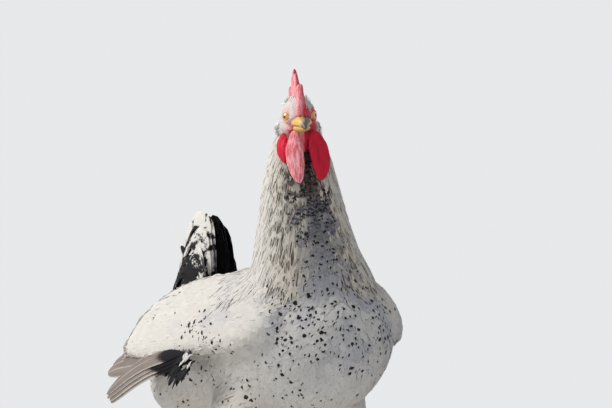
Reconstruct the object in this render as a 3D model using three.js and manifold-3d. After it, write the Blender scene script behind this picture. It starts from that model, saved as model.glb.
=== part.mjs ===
// A life-size cockerel standing upright with its head turned a little to its right, as a still museum model.
// Millimetres, +Z up. The bird faces -Y, so its right side is -X. Z = 0 is the floor under its feet.
import * as THREE from "three";
import { mergeVertices } from "three/addons/utils/BufferGeometryUtils.js";
import Module from "manifold-3d";

const wasm = await Module();
wasm.setup();

// ---------- Driving dimensions ----------

const GAP = 0.35; // between any two pieces that meet
const SIDES = { left: 1, right: -1 };

const BACK_HEIGHT = 337; // top of the back between the wings
const KEEL_HEIGHT = 166; // belly feathers between the thighs
const BREAST_Y = -118; // front of the breast
const RUMP_Y = 220; // end of the fluff that hangs behind the thighs
const TRUNK_HALF_WIDTH = 90;

const HEAD_CENTRE = [-42, -69, 488];
const HEAD_TURN = -22; // degrees about +Z, towards the bird's right
const HEAD_ROLL = -3.4; // degrees, crown towards the bird's right
const EYE_RADIUS = 7;
const EYE_PLACE = [10.4, -9.5, -1.2]; // the left eye, from the middle of the head
const COMB_TOP = 50; // tallest point above the middle of the head
const WATTLE_DROP = 69.5; // wattle tips below the middle of the head

const FOOT_SPREAD = 46; // each foot from the middle plane
const FOOT_Y = 30;
const STRIDE = 7; // the left foot stands this far ahead, the right one as far behind
const HOCK_HEIGHT = 112;
const SHANK_RADIUS = 6.6;
const SOLE_CUT = 1.1; // how much of each round toe is flat on the floor

// ---------- Materials ----------

const finish = (color, roughness) =>
  new THREE.MeshStandardMaterial({ color, roughness, metalness: 0 });
const MATERIALS = {
  plumage: finish(0xd9d5cf, 0.85),
  hackle: finish(0xd8cfbd, 0.75),
  flight: finish(0x8d8480, 0.6),
  tail: finish(0x55555a, 0.6),
  comb: finish(0xc42238, 0.5),
  beak: finish(0xd9b55c, 0.4),
  eye: finish(0xd9822b, 0.1),
  scale: finish(0xd8b45a, 0.5),
  claw: finish(0x6b5a45, 0.4),
};

// ---------- Solids ----------

const vector = (place) => new THREE.Vector3(...place);

/** A closed three.js geometry as a solid whose faces point out. */
function solidOf(geometry) {
  const bare = geometry.clone();
  bare.deleteAttribute("normal");
  bare.deleteAttribute("uv");
  const merged = mergeVertices(bare, 1e-4);
  const triVerts = new Uint32Array(merged.index.array);
  const vertProperties = merged.attributes.position.array;
  const solid = new wasm.Manifold(
    new wasm.Mesh({ numProp: 3, vertProperties, triVerts }),
  );
  if (solid.volume() > 0) return solid;
  const turned = new Uint32Array(triVerts).reverse();
  return new wasm.Manifold(
    new wasm.Mesh({ numProp: 3, vertProperties, triVerts: turned }),
  );
}

/** The largest body left when the cutters are taken from a solid. */
function carve(solid, ...cutters) {
  const left = cutters.reduce((rest, cutter) => rest.subtract(cutter), solid);
  return left.decompose().sort((a, b) => b.volume() - a.volume())[0];
}

const join = (solids) => solids.reduce((whole, solid) => whole.add(solid));

/** A named mesh of a solid. */
function meshOf(name, solid, material) {
  const { numProp, numVert, vertProperties, triVerts } = solid.getMesh();
  const places = new Float32Array(numVert * 3);
  for (let i = 0; i < numVert; i++) {
    places.set(vertProperties.subarray(i * numProp, i * numProp + 3), i * 3);
  }
  const geometry = new THREE.BufferGeometry()
    .setAttribute("position", new THREE.BufferAttribute(places, 3))
    .setIndex(new THREE.BufferAttribute(triVerts, 1));
  geometry.computeVertexNormals();
  const mesh = new THREE.Mesh(geometry, material);
  mesh.name = name;
  return mesh;
}

/**
 * A round-ended body drawn out along a smooth spine: a unit sphere whose poles become the spine's ends.
 * Each station has its place on the spine and the half sizes there, and may have its own dorsal direction.
 * blunt below 1 keeps the ends full, keel narrows the lower half, and grow makes it all that much larger.
 */
function drawnBody(stations, options) {
  const { dorsal, around = 24, along = 14, blunt = 0.6, keel = 0, grow = 0 } = options;
  const spine = new THREE.CatmullRomCurve3(stations.map((s) => vector(s.at)));
  const sizes = new THREE.CatmullRomCurve3(
    stations.map((s) => new THREE.Vector3(s.side, s.up, s.down)),
  );
  const dorsals = new THREE.CatmullRomCurve3(
    stations.map((s) => vector(s.dorsal ?? dorsal)),
  );
  const geometry = new THREE.SphereGeometry(1, around, along);
  const places = geometry.getAttribute("position");
  for (let i = 0; i < places.count; i++) {
    const unit = new THREE.Vector3().fromBufferAttribute(places, i);
    const t = THREE.MathUtils.clamp((1 - unit.y) / 2, 0, 1);
    const centre = spine.getPoint(t);
    const tangent = spine.getTangent(t);
    const up = dorsals.getPoint(t);
    up.addScaledVector(tangent, -up.dot(tangent)).normalize();
    const across = new THREE.Vector3().crossVectors(tangent, up);
    const size = sizes.getPoint(t);
    const ring = Math.hypot(unit.x, unit.z);
    const fullness = ring > 1e-6 ? ring ** blunt / ring : 0;
    const height = unit.z > 0 ? size.y : size.z;
    const narrowing = unit.z < 0 && ring > 0 ? 1 - keel * (unit.z / ring) ** 2 : 1;
    centre
      .addScaledVector(across, unit.x * (size.x * fullness * narrowing + grow))
      .addScaledVector(up, unit.z * (height * fullness + grow))
      .addScaledVector(tangent, -unit.y * grow);
    places.setXYZ(i, centre.x, centre.y, centre.z);
  }
  return solidOf(geometry);
}

/**
 * One large feather as a thin blade along a curve: width lies along broad, thickness across it.
 * It is narrow at the root and rounded at the tip. broad is one direction, or one for each point.
 */
function blade(route, width, options) {
  const { broad, thick = 1.6, along = 5, around = 6, point = 0.75, grow = 0 } = options;
  const steps = route.length - 1;
  const broads = Array.isArray(broad[0]) ? broad : route.map(() => broad);
  const stations = route.map((at, i) => {
    const half = (width / 2) * (0.62 + 0.38 * Math.sin((Math.PI * i) / steps));
    return { at, dorsal: broads[i], side: thick / 2, up: half, down: half };
  });
  return drawnBody(stations, { around, along, blunt: point, grow });
}

// ---------- Trunk and neck ----------

const middle = (BACK_HEIGHT + KEEL_HEIGHT) / 2 + 4;

/** The feathered trunk, from the breast to the fluff under the tail. */
function trunkSolid(grow = 0) {
  const wide = TRUNK_HALF_WIDTH;
  const up = BACK_HEIGHT - middle;
  const down = middle - KEEL_HEIGHT;
  const stations = [
    { at: [0, BREAST_Y, middle + 10], side: 64, up: 64, down: 60 },
    { at: [0, -66, middle + 6], side: wide, up: up * 1.08, down: down * 1.04 },
    { at: [0, 8, middle], side: wide, up, down: down * 1.02 },
    { at: [0, 80, middle - 5], side: wide * 0.98, up: up * 1.04, down },
    { at: [0, 144, middle - 24], side: wide * 1.08, up: up * 1.04, down: down * 1.03 },
    { at: [0, RUMP_Y, middle - 84], side: 140, up: 92, down: 70 },
  ];
  return drawnBody(stations, {
    dorsal: [0, 0, 1],
    around: 20,
    along: 14,
    blunt: 0.68,
    keel: 0.2,
    grow,
  });
}

/** The neck with its hackle, which leans to the bird's right as it rises. */
function neckSolid(grow = 0) {
  const turned = [0.375, 0.927, 0];
  const stations = [
    { at: [-2, -26, 228], side: 56, up: 70, down: 62 },
    { at: [-4, -34, 284], side: 84, up: 88, down: 79 },
    { at: [-16, -42, 332], side: 61, up: 57, down: 55 },
    { at: [-24, -47, 380], side: 49, up: 45, down: 42 },
    { at: [-30, -53, 428], side: 39.5, up: 39, down: 31 },
    { at: [-35.5, -59.5, 470], side: 28, up: 30, down: 18, dorsal: turned },
    { at: [-38, -64, 500], side: 12, up: 14, down: 10, dorsal: turned },
  ];
  return drawnBody(stations, { dorsal: [0, 1, 0], around: 16, along: 12, blunt: 0.45, grow });
}

// ---------- Head, in its own frame: forward is -Y and its middle is the origin ----------

/** The feathered head with its full cheeks. */
function headSolid(grow = 0) {
  const skull = [
    { at: [0, 25, -5], side: 15, up: 13, down: 14 },
    { at: [0, 10, 0], side: 19.4, up: 18.5, down: 22 },
    { at: [0, -8, 0], side: 16.4, up: 18, down: 20 },
    { at: [0, -21, -3], side: 12.5, up: 13, down: 13 },
    { at: [0, -29, -5], side: 8.5, up: 8, down: 8 },
  ];
  const cheeks = [
    { at: [0, 20, -14], side: 16, up: 12, down: 12 },
    { at: [0, 4, -13], side: 23, up: 14, down: 15 },
    { at: [0, -14, -11], side: 14, up: 9, down: 9 },
  ];
  const dorsal = [0, 0, 1];
  return drawnBody(skull, { dorsal, around: 14, along: 9, grow }).add(
    drawnBody(cheeks, { dorsal, around: 10, along: 7, blunt: 0.8, grow }),
  );
}

/** One eyeball, set so that a shallow cap of it shows. */
function eyeSolid(side, grow = 0) {
  const [out, along, rise] = EYE_PLACE;
  const ball = new THREE.SphereGeometry(EYE_RADIUS + grow, 10, 8);
  return solidOf(ball.translate(side * out, along, rise));
}

/** The upper bill with its hooked tip. */
function upperBill(grow = 0) {
  const stations = [
    { at: [0, -13, -9], side: 13.4, up: 7.4, down: 3.4 },
    { at: [0, -23, -8.8], side: 11.6, up: 9, down: 3 },
    { at: [0, -36, -10.6], side: 6, up: 6.8, down: 2.6 },
    { at: [0, -47.5, -15.6], side: 1.8, up: 2.6, down: 1.6 },
  ];
  return drawnBody(stations, { dorsal: [0, -0.35, 1], around: 12, along: 8, grow });
}

/** The lower bill, shorter than the upper one. */
function lowerBill(grow = 0) {
  const stations = [
    { at: [0, -13, -13.5], side: 12, up: 4.6, down: 4.6 },
    { at: [0, -25, -13.8], side: 8.4, up: 4.8, down: 4 },
    { at: [0, -38, -15.4], side: 2.4, up: 3.4, down: 1.6 },
  ];
  return drawnBody(stations, { dorsal: [0, 0, 1], around: 12, along: 7, grow });
}

/** The single comb: a blade with points, thick at its foot, which leans and waves a little. */
function combSolid() {
  const points = 6;
  const front = -33;
  const rear = 36;
  const outline = new THREE.Shape();
  outline.moveTo(front, -4);
  for (let i = 0; i < points; i++) {
    const share = (i + 0.5) / points;
    const from = front + ((rear - front) * i) / points;
    const to = front + ((rear - front) * (i + 1)) / points;
    const rise = Math.sin(Math.PI * (0.14 + 0.73 * share));
    const peak = COMB_TOP * (0.18 + 0.82 * rise);
    const valley = peak * (0.58 + 0.1 * share);
    const tip = (from + to) / 2 + 3.5 * share;
    outline.quadraticCurveTo(from + 1.5, peak * 0.7, tip - 0.7, peak);
    outline.quadraticCurveTo(tip + 1, peak, to - 1.5, valley);
  }
  outline.quadraticCurveTo(rear + 3, 16, 24, 8);
  outline.quadraticCurveTo(2, 12, front, -4);
  const flesh = new THREE.ExtrudeGeometry(outline, {
    depth: 2,
    curveSegments: 2,
    bevelSegments: 1,
    bevelThickness: 2,
    bevelSize: 1,
    bevelOffset: -1,
  }).translate(0, 0, -1);
  // Outline along Y and up Z, thickness along X.
  flesh.applyMatrix4(
    new THREE.Matrix4().makeBasis(vector([0, 1, 0]), vector([0, 0, 1]), vector([1, 0, 0])),
  );
  const places = flesh.getAttribute("position");
  for (let i = 0; i < places.count; i++) {
    const rise = THREE.MathUtils.clamp(places.getZ(i) / COMB_TOP, 0, 1);
    const foot = THREE.MathUtils.lerp(1.6, 0.62, Math.sqrt(rise));
    const wave = 1.8 * rise * Math.sin(places.getY(i) / 8) - 1.6 * rise * rise;
    places.setX(i, places.getX(i) * foot + wave);
  }
  return solidOf(flesh);
}

/** A flat drop of red flesh hanging along a short route, such as a wattle or an ear lobe. */
function fleshDrop(route, half, thick, broad, grow = 0) {
  const widths = [0.62, 1, 1.02, 0.6];
  const stations = route.map((at, i) => ({
    at,
    side: thick / 2,
    up: half * widths[i],
    down: half * widths[i],
  }));
  return drawnBody(stations, { dorsal: broad, around: 10, along: 8, blunt: 0.7, grow });
}

/** The wattles: the left one swings out, the right one turns its face forwards. */
const wattleSolids = {
  left: (grow) =>
    fleshDrop(
      [[11, -18.5, -15], [15.5, -20.5, -32], [18, -21, -50], [16, -22, -WATTLE_DROP + 1]],
      12.5,
      6,
      [0.9, 0.44, 0],
      grow,
    ),
  right: (grow) =>
    fleshDrop(
      [[-7.5, -20, -15], [-9.5, -23.5, -33], [-8.5, -25, -52], [-5.5, -25, -WATTLE_DROP - 1]],
      10,
      6,
      [-0.86, 0.5, 0],
      grow,
    ),
};

/** A long red ear lobe, lying against the side of the neck. */
const lobeSolid = (side) =>
  fleshDrop(
    [[side * 17, -6, -17], [side * 19.5, -11, -28], [side * 19.5, -13.5, -39], [side * 17.5, -15.5, -48]],
    7.5,
    6,
    [side * 0.7, 0.7, 0],
  );

// ---------- Wings, side is 1 on the left and -1 on the right ----------

const wingLean = (side) => [-side * 0.42, 0, 0.91];

/** The folded wing as far as its coverts reach, drooping a little to the rear. */
function wingSolid(side, grow = 0) {
  const stations = [
    { at: [side * 68, -78, 280], side: 11, up: 22, down: 22 },
    { at: [side * 80, -44, 282], side: 14, up: 46, down: 42 },
    { at: [side * 86, 22, 282], side: 15, up: 52, down: 46 },
    { at: [side * 93, 90, 274], side: 14, up: 50, down: 46 },
    { at: [side * 102, 150, 258], side: 10, up: 44, down: 38 },
    { at: [side * 112, 189, 237], side: 5, up: 24, down: 21 },
  ];
  return drawnBody(stations, {
    dorsal: wingLean(side),
    around: 14,
    along: 12,
    blunt: 0.55,
    grow,
  });
}

/** A fan of flight feathers, each a blade between the root line and the tip line. */
function flightFan(side, fan, grow = 0) {
  const mix = (a, b, share) => a.map((value, i) => value + (b[i] - value) * share);
  const blades = [];
  for (let i = 0; i < fan.count; i++) {
    const share = i / (fan.count - 1);
    const root = mix(fan.roots[0], fan.roots[1], share);
    const tip = mix(fan.tips[0], fan.tips[1], share);
    const route = [0, 0.5, 1].map((along) => {
      const [x, y, z] = mix(root, tip, along);
      return [side * (x + FEATHER_STEP * (fan.count - i)), y, z + fan.arch * Math.sin(Math.PI * along)];
    });
    blades.push(blade(route, fan.width, { broad: wingLean(side), thick: fan.thick, grow }));
  }
  return join(blades);
}

const FEATHER_STEP = 0.4; // each flight feather lies this far outside the one below it
const SECONDARIES = {
  count: 4,
  roots: [[104, 116, 252], [108, 96, 226]],
  tips: [[112, 197, 237], [118, 211, 207]],
  width: 20,
  thick: 2.8,
  arch: 6,
};
const PRIMARIES = {
  count: 3,
  roots: [[110, 40, 236], [112, 28, 228]],
  tips: [[120, 211, 192], [122, 200, 181]],
  width: 19,
  thick: 2.6,
  arch: 11,
};

// ---------- Tail ----------

const TAIL_ROOT = [0, 180, 274];

const TAIL_LENGTH = 98; // of the main tail feathers
const TAIL_ANGLES = [76, 46]; // degrees above level, from the foremost feathers back

/** The main tail feathers, a steep fan shaped like a tent. */
function tailFan() {
  const [x, y, z] = TAIL_ROOT;
  const blades = [];
  for (const side of Object.values(SIDES)) {
    for (const [i, degrees] of TAIL_ANGLES.entries()) {
      const angle = THREE.MathUtils.degToRad(degrees);
      const out = side * (3.8 + 9 * i);
      const route = [0, 0.5, 1].map((share) => [
        x + out * (0.5 + 0.5 * share),
        y + Math.cos(angle) * TAIL_LENGTH * share + 6 * share * share,
        z + Math.sin(angle) * TAIL_LENGTH * share,
      ]);
      const broad = [side * -0.2, 1, -0.6];
      blades.push(blade(route, 40, { broad, thick: 6.8, point: 0.6 }));
    }
  }
  return join(blades);
}

// Feathers that spring up from the root of the tail and hang over behind, given for the left side.
const GREAT_SICKLE = {
  root: [9, 182, 276],
  peak: [11, 206, 376],
  end: [11, 258, 304],
  width: 38,
  thick: 15,
};
const TAIL_COVERTS = [
  { root: [20, 182, 270], peak: [26, 198, 350], end: [27, 240, 286], width: 36, thick: 15 },
  { root: [26, 178, 262], peak: [34, 194, 322], end: [36, 224, 264], width: 32, thick: 12 },
];

// The way each point of an arched feather faces: forwards at its root, up at its peak, back at its end.
const ARCH_BROAD = [
  [0, -1, 0.1],
  [0, -0.8, 0.6],
  [0, 0, 1],
  [0, 0.8, 0.6],
  [0, 1, 0.1],
];

/** A sheaf of feathers, arched from its root over its peak to its end. */
function archedBlade(side, arch, grow = 0) {
  const { root, peak, end, width, thick } = arch;
  const between = (a, b, back, rise) =>
    a.map((value, i) => (value + b[i]) / 2 + [0, back, rise][i]);
  const route = [root, between(root, peak, -8, 10), peak, between(peak, end, 8, 8), end].map(
    ([x, y, z]) => [side * x, y, z],
  );
  return blade(route, width, { broad: ARCH_BROAD, thick, along: 8, point: 0.6, grow });
}

const greatSickle = (side, grow) => archedBlade(side, GREAT_SICKLE, grow);

/** The lesser sickles and coverts that cloak the root of the tail on one side. */
const tailCoverts = (side, grow) => join(TAIL_COVERTS.map((arch) => archedBlade(side, arch, grow)));

// ---------- Legs, in a frame on the floor under each foot ----------

const TOES = [
  { name: "inner", angle: -30, length: 50, radius: 5.4 },
  { name: "middle", angle: 0, length: 66, radius: 5.8 },
  { name: "outer", angle: 30, length: 52, radius: 5.3 },
  { name: "hind", angle: 172, length: 31, radius: 4.6 },
];
const PAD_RADIUS = 10.5;
const TOE_START = 8; // each toe begins this far from the middle of the foot
const HOCK = [0, 26, HOCK_HEIGHT];

/** The feathered thigh and drumstick, down to the hock. */
function thighSolid(side, grow = 0) {
  const stations = [
    { at: [-side * 4, -18, 222], side: 34, up: 54, down: 48 },
    { at: [side * 2, -10, 188], side: 38, up: 54, down: 50 },
    { at: [side * 2, 4, 152], side: 28, up: 38, down: 35 },
    { at: [0, 22, 122], side: 12, up: 14, down: 13 },
    { at: [0, 25, 108], side: 8.6, up: 8.6, down: 8.6 },
  ];
  return drawnBody(stations, { dorsal: [0, 1, 0], around: 12, along: 9, grow });
}

/** The scaled shank, from the hock to the ball of the foot. */
function shankSolid(grow = 0) {
  const r = SHANK_RADIUS;
  const stations = [
    { at: [HOCK[0], HOCK[1] + 1, HOCK[2] + 7], side: r + 1, up: r + 1, down: r + 1 },
    { at: [0, 23.5, 98], side: r + 1.4, up: r + 1.2, down: r + 0.6 },
    { at: [0, 15, 66], side: r, up: r + 0.4, down: r },
    { at: [0, 7, 34], side: r + 0.4, up: r + 0.6, down: r + 0.4 },
    { at: [0, 1, 10], side: r + 1.6, up: r + 1.4, down: r + 1.6 },
  ];
  return drawnBody(stations, { dorsal: [0, 1, 0], around: 9, along: 7, blunt: 0.35, grow });
}

/** The ball of the foot, flat below. */
function padSolid(grow = 0) {
  const ball = new THREE.SphereGeometry(PAD_RADIUS + grow, 12, 6);
  const pad = solidOf(ball.scale(1, 1, 0.8).translate(0, 0, PAD_RADIUS * 0.8 - SOLE_CUT));
  return pad.trimByPlane([0, 0, 1], 0);
}

const toeWay = (toe, side) => {
  const angle = THREE.MathUtils.degToRad(-90 + side * toe.angle);
  return new THREE.Vector3(Math.cos(angle), Math.sin(angle), 0);
};

/** One toe, flat below, with its joints slightly swollen. */
function toeSolid(toe, side, grow = 0) {
  const way = toeWay(toe, side);
  const beads = [1.06, 0.92, 1, 0.86, 0.9, 0.62];
  const stations = beads.map((bead, i) => {
    const along = TOE_START + ((toe.length - TOE_START) * i) / (beads.length - 1);
    const half = toe.radius * bead * (1 - (0.12 * i) / beads.length);
    return {
      at: [way.x * along, way.y * along, half - SOLE_CUT],
      side: half * 1.06,
      up: half,
      down: half,
    };
  });
  const body = drawnBody(stations, { dorsal: [0, 0, 1], around: 8, along: 6, blunt: 0.4, grow });
  return body.trimByPlane([0, 0, 1], 0);
}

/** The claw at the end of a toe, curving down to the floor. */
function clawSolid(toe, side) {
  const way = toeWay(toe, side);
  const reach = [-3, 4, 11, 16.5];
  const heights = [4.4, 4.9, 3.6, 1];
  const halves = [2.4, 2.4, 1.7, 0.6];
  const stations = reach.map((out, i) => ({
    at: [way.x * (toe.length + out), way.y * (toe.length + out), heights[i]],
    side: halves[i] * 0.85,
    up: halves[i],
    down: halves[i],
  }));
  const horn = drawnBody(stations, { dorsal: [0, 0, 1], around: 6, along: 4, blunt: 0.6 });
  return horn.trimByPlane([0, 0, 1], 0);
}

/** The horny spur on the inner rear of a shank. */
function spurSolid(side) {
  const stations = [
    { at: [-side * 2, 8, 39], side: 4.6, up: 4.6, down: 4.6 },
    { at: [-side * 9, 16, 41], side: 4, up: 4, down: 4 },
    { at: [-side * 14, 24, 46], side: 1, up: 1, down: 1 },
  ];
  return drawnBody(stations, { dorsal: [0, 0, 1], around: 8, along: 5, blunt: 0.6 });
}

// ---------- Assembly ----------

const cockerel = new THREE.Group();

const headGroup = new THREE.Group();
headGroup.position.set(...HEAD_CENTRE);
headGroup.rotation.set(
  0,
  THREE.MathUtils.degToRad(HEAD_ROLL),
  THREE.MathUtils.degToRad(HEAD_TURN),
  "ZYX",
);
headGroup.updateMatrix();
cockerel.add(headGroup);

const fromHead = (solid) => solid.transform(headGroup.matrix.elements);
const toHead = (solid) => solid.transform(headGroup.matrix.clone().invert().elements);

/** Adds every piece of the head, cut clear of its neighbours. */
function addHead(neckInHead) {
  const eyes = Object.values(SIDES).map((side) => eyeSolid(side, GAP));
  const headGrown = headSolid(GAP);
  const upper = carve(upperBill(), ...eyes);
  headGroup.add(
    meshOf(
      "head",
      carve(headSolid(), ...eyes, upperBill(GAP), lowerBill(GAP)),
      MATERIALS.plumage,
    ),
    meshOf("bill_upper", upper, MATERIALS.beak),
    meshOf("bill_lower", carve(lowerBill(), upperBill(GAP)), MATERIALS.beak),
    meshOf("comb", carve(combSolid(), headGrown, upperBill(GAP)), MATERIALS.comb),
  );
  for (const [name, side] of Object.entries(SIDES)) {
    const wattle = carve(
      wattleSolids[name](0),
      headGrown,
      upperBill(GAP),
      lowerBill(GAP),
      neckInHead,
    );
    const lobe = carve(lobeSolid(side), headGrown, neckInHead, lowerBill(GAP), wattleSolids[name](GAP));
    headGroup.add(
      meshOf("eye_" + name, eyeSolid(side), MATERIALS.eye),
      meshOf("wattle_" + name, wattle, MATERIALS.comb),
      meshOf("earlobe_" + name, lobe, MATERIALS.comb),
    );
  }
}

/** Adds one leg's scaled parts in its own group, and its thigh, which the trunk cuts. */
function addLeg(name, side, trunkGrown) {
  const leg = new THREE.Group();
  leg.position.set(side * FOOT_SPREAD, FOOT_Y - side * STRIDE, 0);
  leg.updateMatrix();
  cockerel.add(leg);
  const trunkInLeg = trunkGrown.transform(leg.matrix.clone().invert().elements);
  leg.add(
    meshOf("thigh_" + name, carve(thighSolid(side), trunkInLeg), MATERIALS.plumage),
    meshOf(
      "shank_" + name,
      carve(shankSolid(), thighSolid(side, GAP), padSolid(GAP)),
      MATERIALS.scale,
    ),
    meshOf("foot_" + name, padSolid(), MATERIALS.scale),
    meshOf("spur_" + name, carve(spurSolid(side), shankSolid(GAP)), MATERIALS.claw),
  );
  const placed = [];
  for (const toe of TOES) {
    const body = carve(toeSolid(toe, side), padSolid(GAP), shankSolid(GAP), ...placed);
    placed.push(toeSolid(toe, side, GAP));
    const label = "_" + toe.name + "_" + name;
    leg.add(
      meshOf("toe" + label, body, MATERIALS.scale),
      meshOf("claw" + label, carve(clawSolid(toe, side), toeSolid(toe, side, GAP)), MATERIALS.claw),
    );
  }
}

/** Adds one wing: its covert-clad body, and the flight feathers that stand out of it. */
function addWing(name, side, ...cutters) {
  const wingGrown = wingSolid(side, GAP);
  const secondaries = flightFan(side, SECONDARIES);
  const secondariesGrown = flightFan(side, SECONDARIES, GAP);
  const primaries = flightFan(side, PRIMARIES);
  cockerel.add(
    meshOf("wing_" + name, carve(wingSolid(side), ...cutters), MATERIALS.plumage),
    meshOf("secondaries_" + name, carve(secondaries, wingGrown, ...cutters), MATERIALS.flight),
    meshOf(
      "primaries_" + name,
      carve(primaries, wingGrown, secondariesGrown, ...cutters),
      MATERIALS.flight,
    ),
  );
}

const trunkGrown = trunkSolid(GAP);
const neckGrown = neckSolid(GAP);
const headInWorld = fromHead(headSolid(GAP));

cockerel.add(
  meshOf("trunk", trunkSolid(), MATERIALS.plumage),
  meshOf("neck", carve(neckSolid(), trunkGrown, headInWorld), MATERIALS.hackle),
);
addHead(toHead(neckGrown));
for (const [name, side] of Object.entries(SIDES)) {
  addWing(name, side, trunkGrown, neckGrown);
  addLeg(name, side, trunkGrown);
}

const tailCutters = [trunkGrown];
for (const [name, side] of Object.entries(SIDES)) {
  const great = carve(greatSickle(side), trunkGrown);
  const coverts = carve(tailCoverts(side), trunkGrown, greatSickle(side, GAP));
  cockerel.add(
    meshOf("tail_sickle_" + name, great, MATERIALS.tail),
    meshOf("tail_coverts_" + name, coverts, MATERIALS.tail),
  );
  tailCutters.push(greatSickle(side, GAP), tailCoverts(side, GAP));
}
cockerel.add(meshOf("tail_fan", carve(tailFan(), ...tailCutters), MATERIALS.tail));

// The frame's origin is on the floor below the middle of the bird's box.
const boxCentre = new THREE.Box3().setFromObject(cockerel).getCenter(new THREE.Vector3());
cockerel.position.set(-boxCentre.x, -boxCentre.y, 0);

export default cockerel;
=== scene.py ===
"""A standing cockerel in life size: one skin, a coat of mesh feathers, bill, eyes, claws and spurs."""

import logging
import math
from dataclasses import dataclass, field
from enum import Enum
from functools import partial
from typing import Callable, Sequence

import bmesh
import bpy
import numpy as np
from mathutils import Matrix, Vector, noise
from mathutils.bvhtree import BVHTree


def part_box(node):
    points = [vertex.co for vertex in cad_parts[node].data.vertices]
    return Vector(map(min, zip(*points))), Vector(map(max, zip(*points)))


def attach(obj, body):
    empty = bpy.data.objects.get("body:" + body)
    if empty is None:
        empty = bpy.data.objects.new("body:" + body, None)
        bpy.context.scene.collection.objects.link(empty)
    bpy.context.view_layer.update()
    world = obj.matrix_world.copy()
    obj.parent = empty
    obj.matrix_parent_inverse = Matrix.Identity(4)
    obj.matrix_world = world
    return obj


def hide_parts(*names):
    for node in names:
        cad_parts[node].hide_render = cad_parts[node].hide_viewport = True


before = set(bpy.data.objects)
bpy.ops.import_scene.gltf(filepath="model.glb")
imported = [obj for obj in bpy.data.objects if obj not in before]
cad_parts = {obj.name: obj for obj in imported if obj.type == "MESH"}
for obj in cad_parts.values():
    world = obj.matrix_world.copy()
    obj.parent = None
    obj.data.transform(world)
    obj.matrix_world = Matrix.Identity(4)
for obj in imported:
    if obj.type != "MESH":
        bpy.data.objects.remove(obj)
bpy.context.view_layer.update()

Rows = np.ndarray  # a row of numbers for each vertex, place or feather
Pair = tuple[Rows, Rows]
Piece = bpy.types.Object
Finish = bpy.types.Material

LOG = logging.getLogger("cockerel")
MM = 0.001
SEED = 20  # chance in the coat and the quills
TAIL_SEED = 23  # chance in the tail
POOL = 260000  # places on the body where a feather may take root
SIDES = {"left": 1.0, "right": -1.0}  # the sign of x on each side
BODY = "root"

# Plain colours of the bird, as linear red, green and blue, and the lilac grey of painted shade.
WHITE = (0.80, 0.78, 0.75)
CREAM = (0.74, 0.66, 0.53)
SOOT = (0.010, 0.010, 0.013)
UMBER = (0.085, 0.055, 0.036)
SLATE = (0.135, 0.135, 0.17)
# Lilac grey is painted sky-lit shade on the front of throat and breast and toward the front of the wings.
SKY_SHADE_LILAC = (0.44, 0.45, 0.52)
TAUPE = (0.25, 0.215, 0.195)


# ---- Mesh helpers ----


def link(name: str, data: bpy.types.ID) -> Piece:
    """Puts a mesh, a lamp or a camera into the scene.

    Args:
        name: The name of the new object.
        data: What it shows, for a mesh already in place.

    Returns:
        The new object at the origin.
    """
    piece = bpy.data.objects.new(name, data)
    bpy.context.scene.collection.objects.link(piece)
    return piece


def baked(piece: Piece, *steps: tuple[str, dict]) -> Piece:
    """Adds modifiers to a piece and turns their result into its mesh.

    Args:
        piece: The object to work on.
        steps: A modifier's type and its settings, in order.

    Returns:
        The same object without modifiers.
    """
    for kind, settings in steps:
        modifier = piece.modifiers.new(kind.title(), kind)
        for key, value in settings.items():
            setattr(modifier, key, value)
    evaluated = piece.evaluated_get(bpy.context.evaluated_depsgraph_get())
    mesh = bpy.data.meshes.new_from_object(evaluated)
    piece.modifiers.clear()
    piece.data = mesh
    return piece


def rows_of(items: bpy.types.bpy_prop_collection, key: str) -> Rows:
    """Reads three numbers from each item of a mesh.

    Args:
        items: Its vertices or their normals.
        key: What is read.

    Returns:
        Rows of x, y and z.
    """
    rows = np.empty(len(items) * 3)
    items.foreach_get(key, rows)
    return rows.reshape(-1, 3)


def places_of(mesh: bpy.types.Mesh) -> Rows:
    """Reads a mesh's vertices."""
    return rows_of(mesh.vertices, "co")


def normals_of(mesh: bpy.types.Mesh) -> Rows:
    """Reads the smooth normals of a mesh's vertices."""
    return rows_of(mesh.vertex_normals, "vector")


def move_to(mesh: bpy.types.Mesh, places: Rows) -> None:
    """Writes rows of x, y and z to a mesh's vertices."""
    mesh.vertices.foreach_set("co", places.astype(np.float32).ravel())
    mesh.update()


def paint(mesh: bpy.types.Mesh, name: str, values: Rows) -> None:
    """Stores a value or a colour on every vertex.

    Args:
        mesh: The mesh to paint.
        name: The attribute's name.
        values: One number for each vertex, or three for a colour.
    """
    values = np.asarray(values, np.float32)
    if values.ndim == 1:
        mesh.attributes.new(name, "FLOAT", "POINT").data.foreach_set("value", values)
        return
    colour = np.ones((len(values), 4), np.float32)
    colour[:, : values.shape[1]] = values
    mesh.attributes.new(name, "FLOAT_COLOR", "POINT").data.foreach_set("color", colour.ravel())


def solid_copy(node: str, grow: float = 0.0, rounds: int = 0) -> Piece:
    """Copies a CAD solid as one closed mesh.

    Args:
        node: The solid's name.
        grow: How far its surface moves out.
        rounds: Levels of subdivision that round its facets.

    Returns:
        A new object, which stands for nothing yet.
    """
    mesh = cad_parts[node].data.copy()
    mesh.materials.clear()
    form = bmesh.new()
    form.from_mesh(mesh)
    bmesh.ops.remove_doubles(form, verts=form.verts, dist=0.01 * MM)
    form.to_mesh(mesh)
    form.free()
    while mesh.attributes.get("UVMap"):
        mesh.attributes.remove(mesh.attributes["UVMap"])
    piece = link(f"{node}_copy", mesh)
    if rounds:
        baked(piece, ("SUBSURF", {"levels": rounds, "render_levels": rounds}))
    if grow:
        move_to(piece.data, places_of(piece.data) + grow * normals_of(piece.data))
    return piece


def made(name: str, create: Callable, **sizes: float) -> bpy.types.Mesh:
    """Makes a mesh of one of the plain forms.

    Args:
        name: The mesh's name.
        create: The operator that makes the form.
        **sizes: The operator's settings.

    Returns:
        The mesh round the origin.
    """
    form = bmesh.new()
    create(form, **sizes)
    mesh = bpy.data.meshes.new(name)
    form.to_mesh(mesh)
    form.free()
    return mesh


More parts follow.
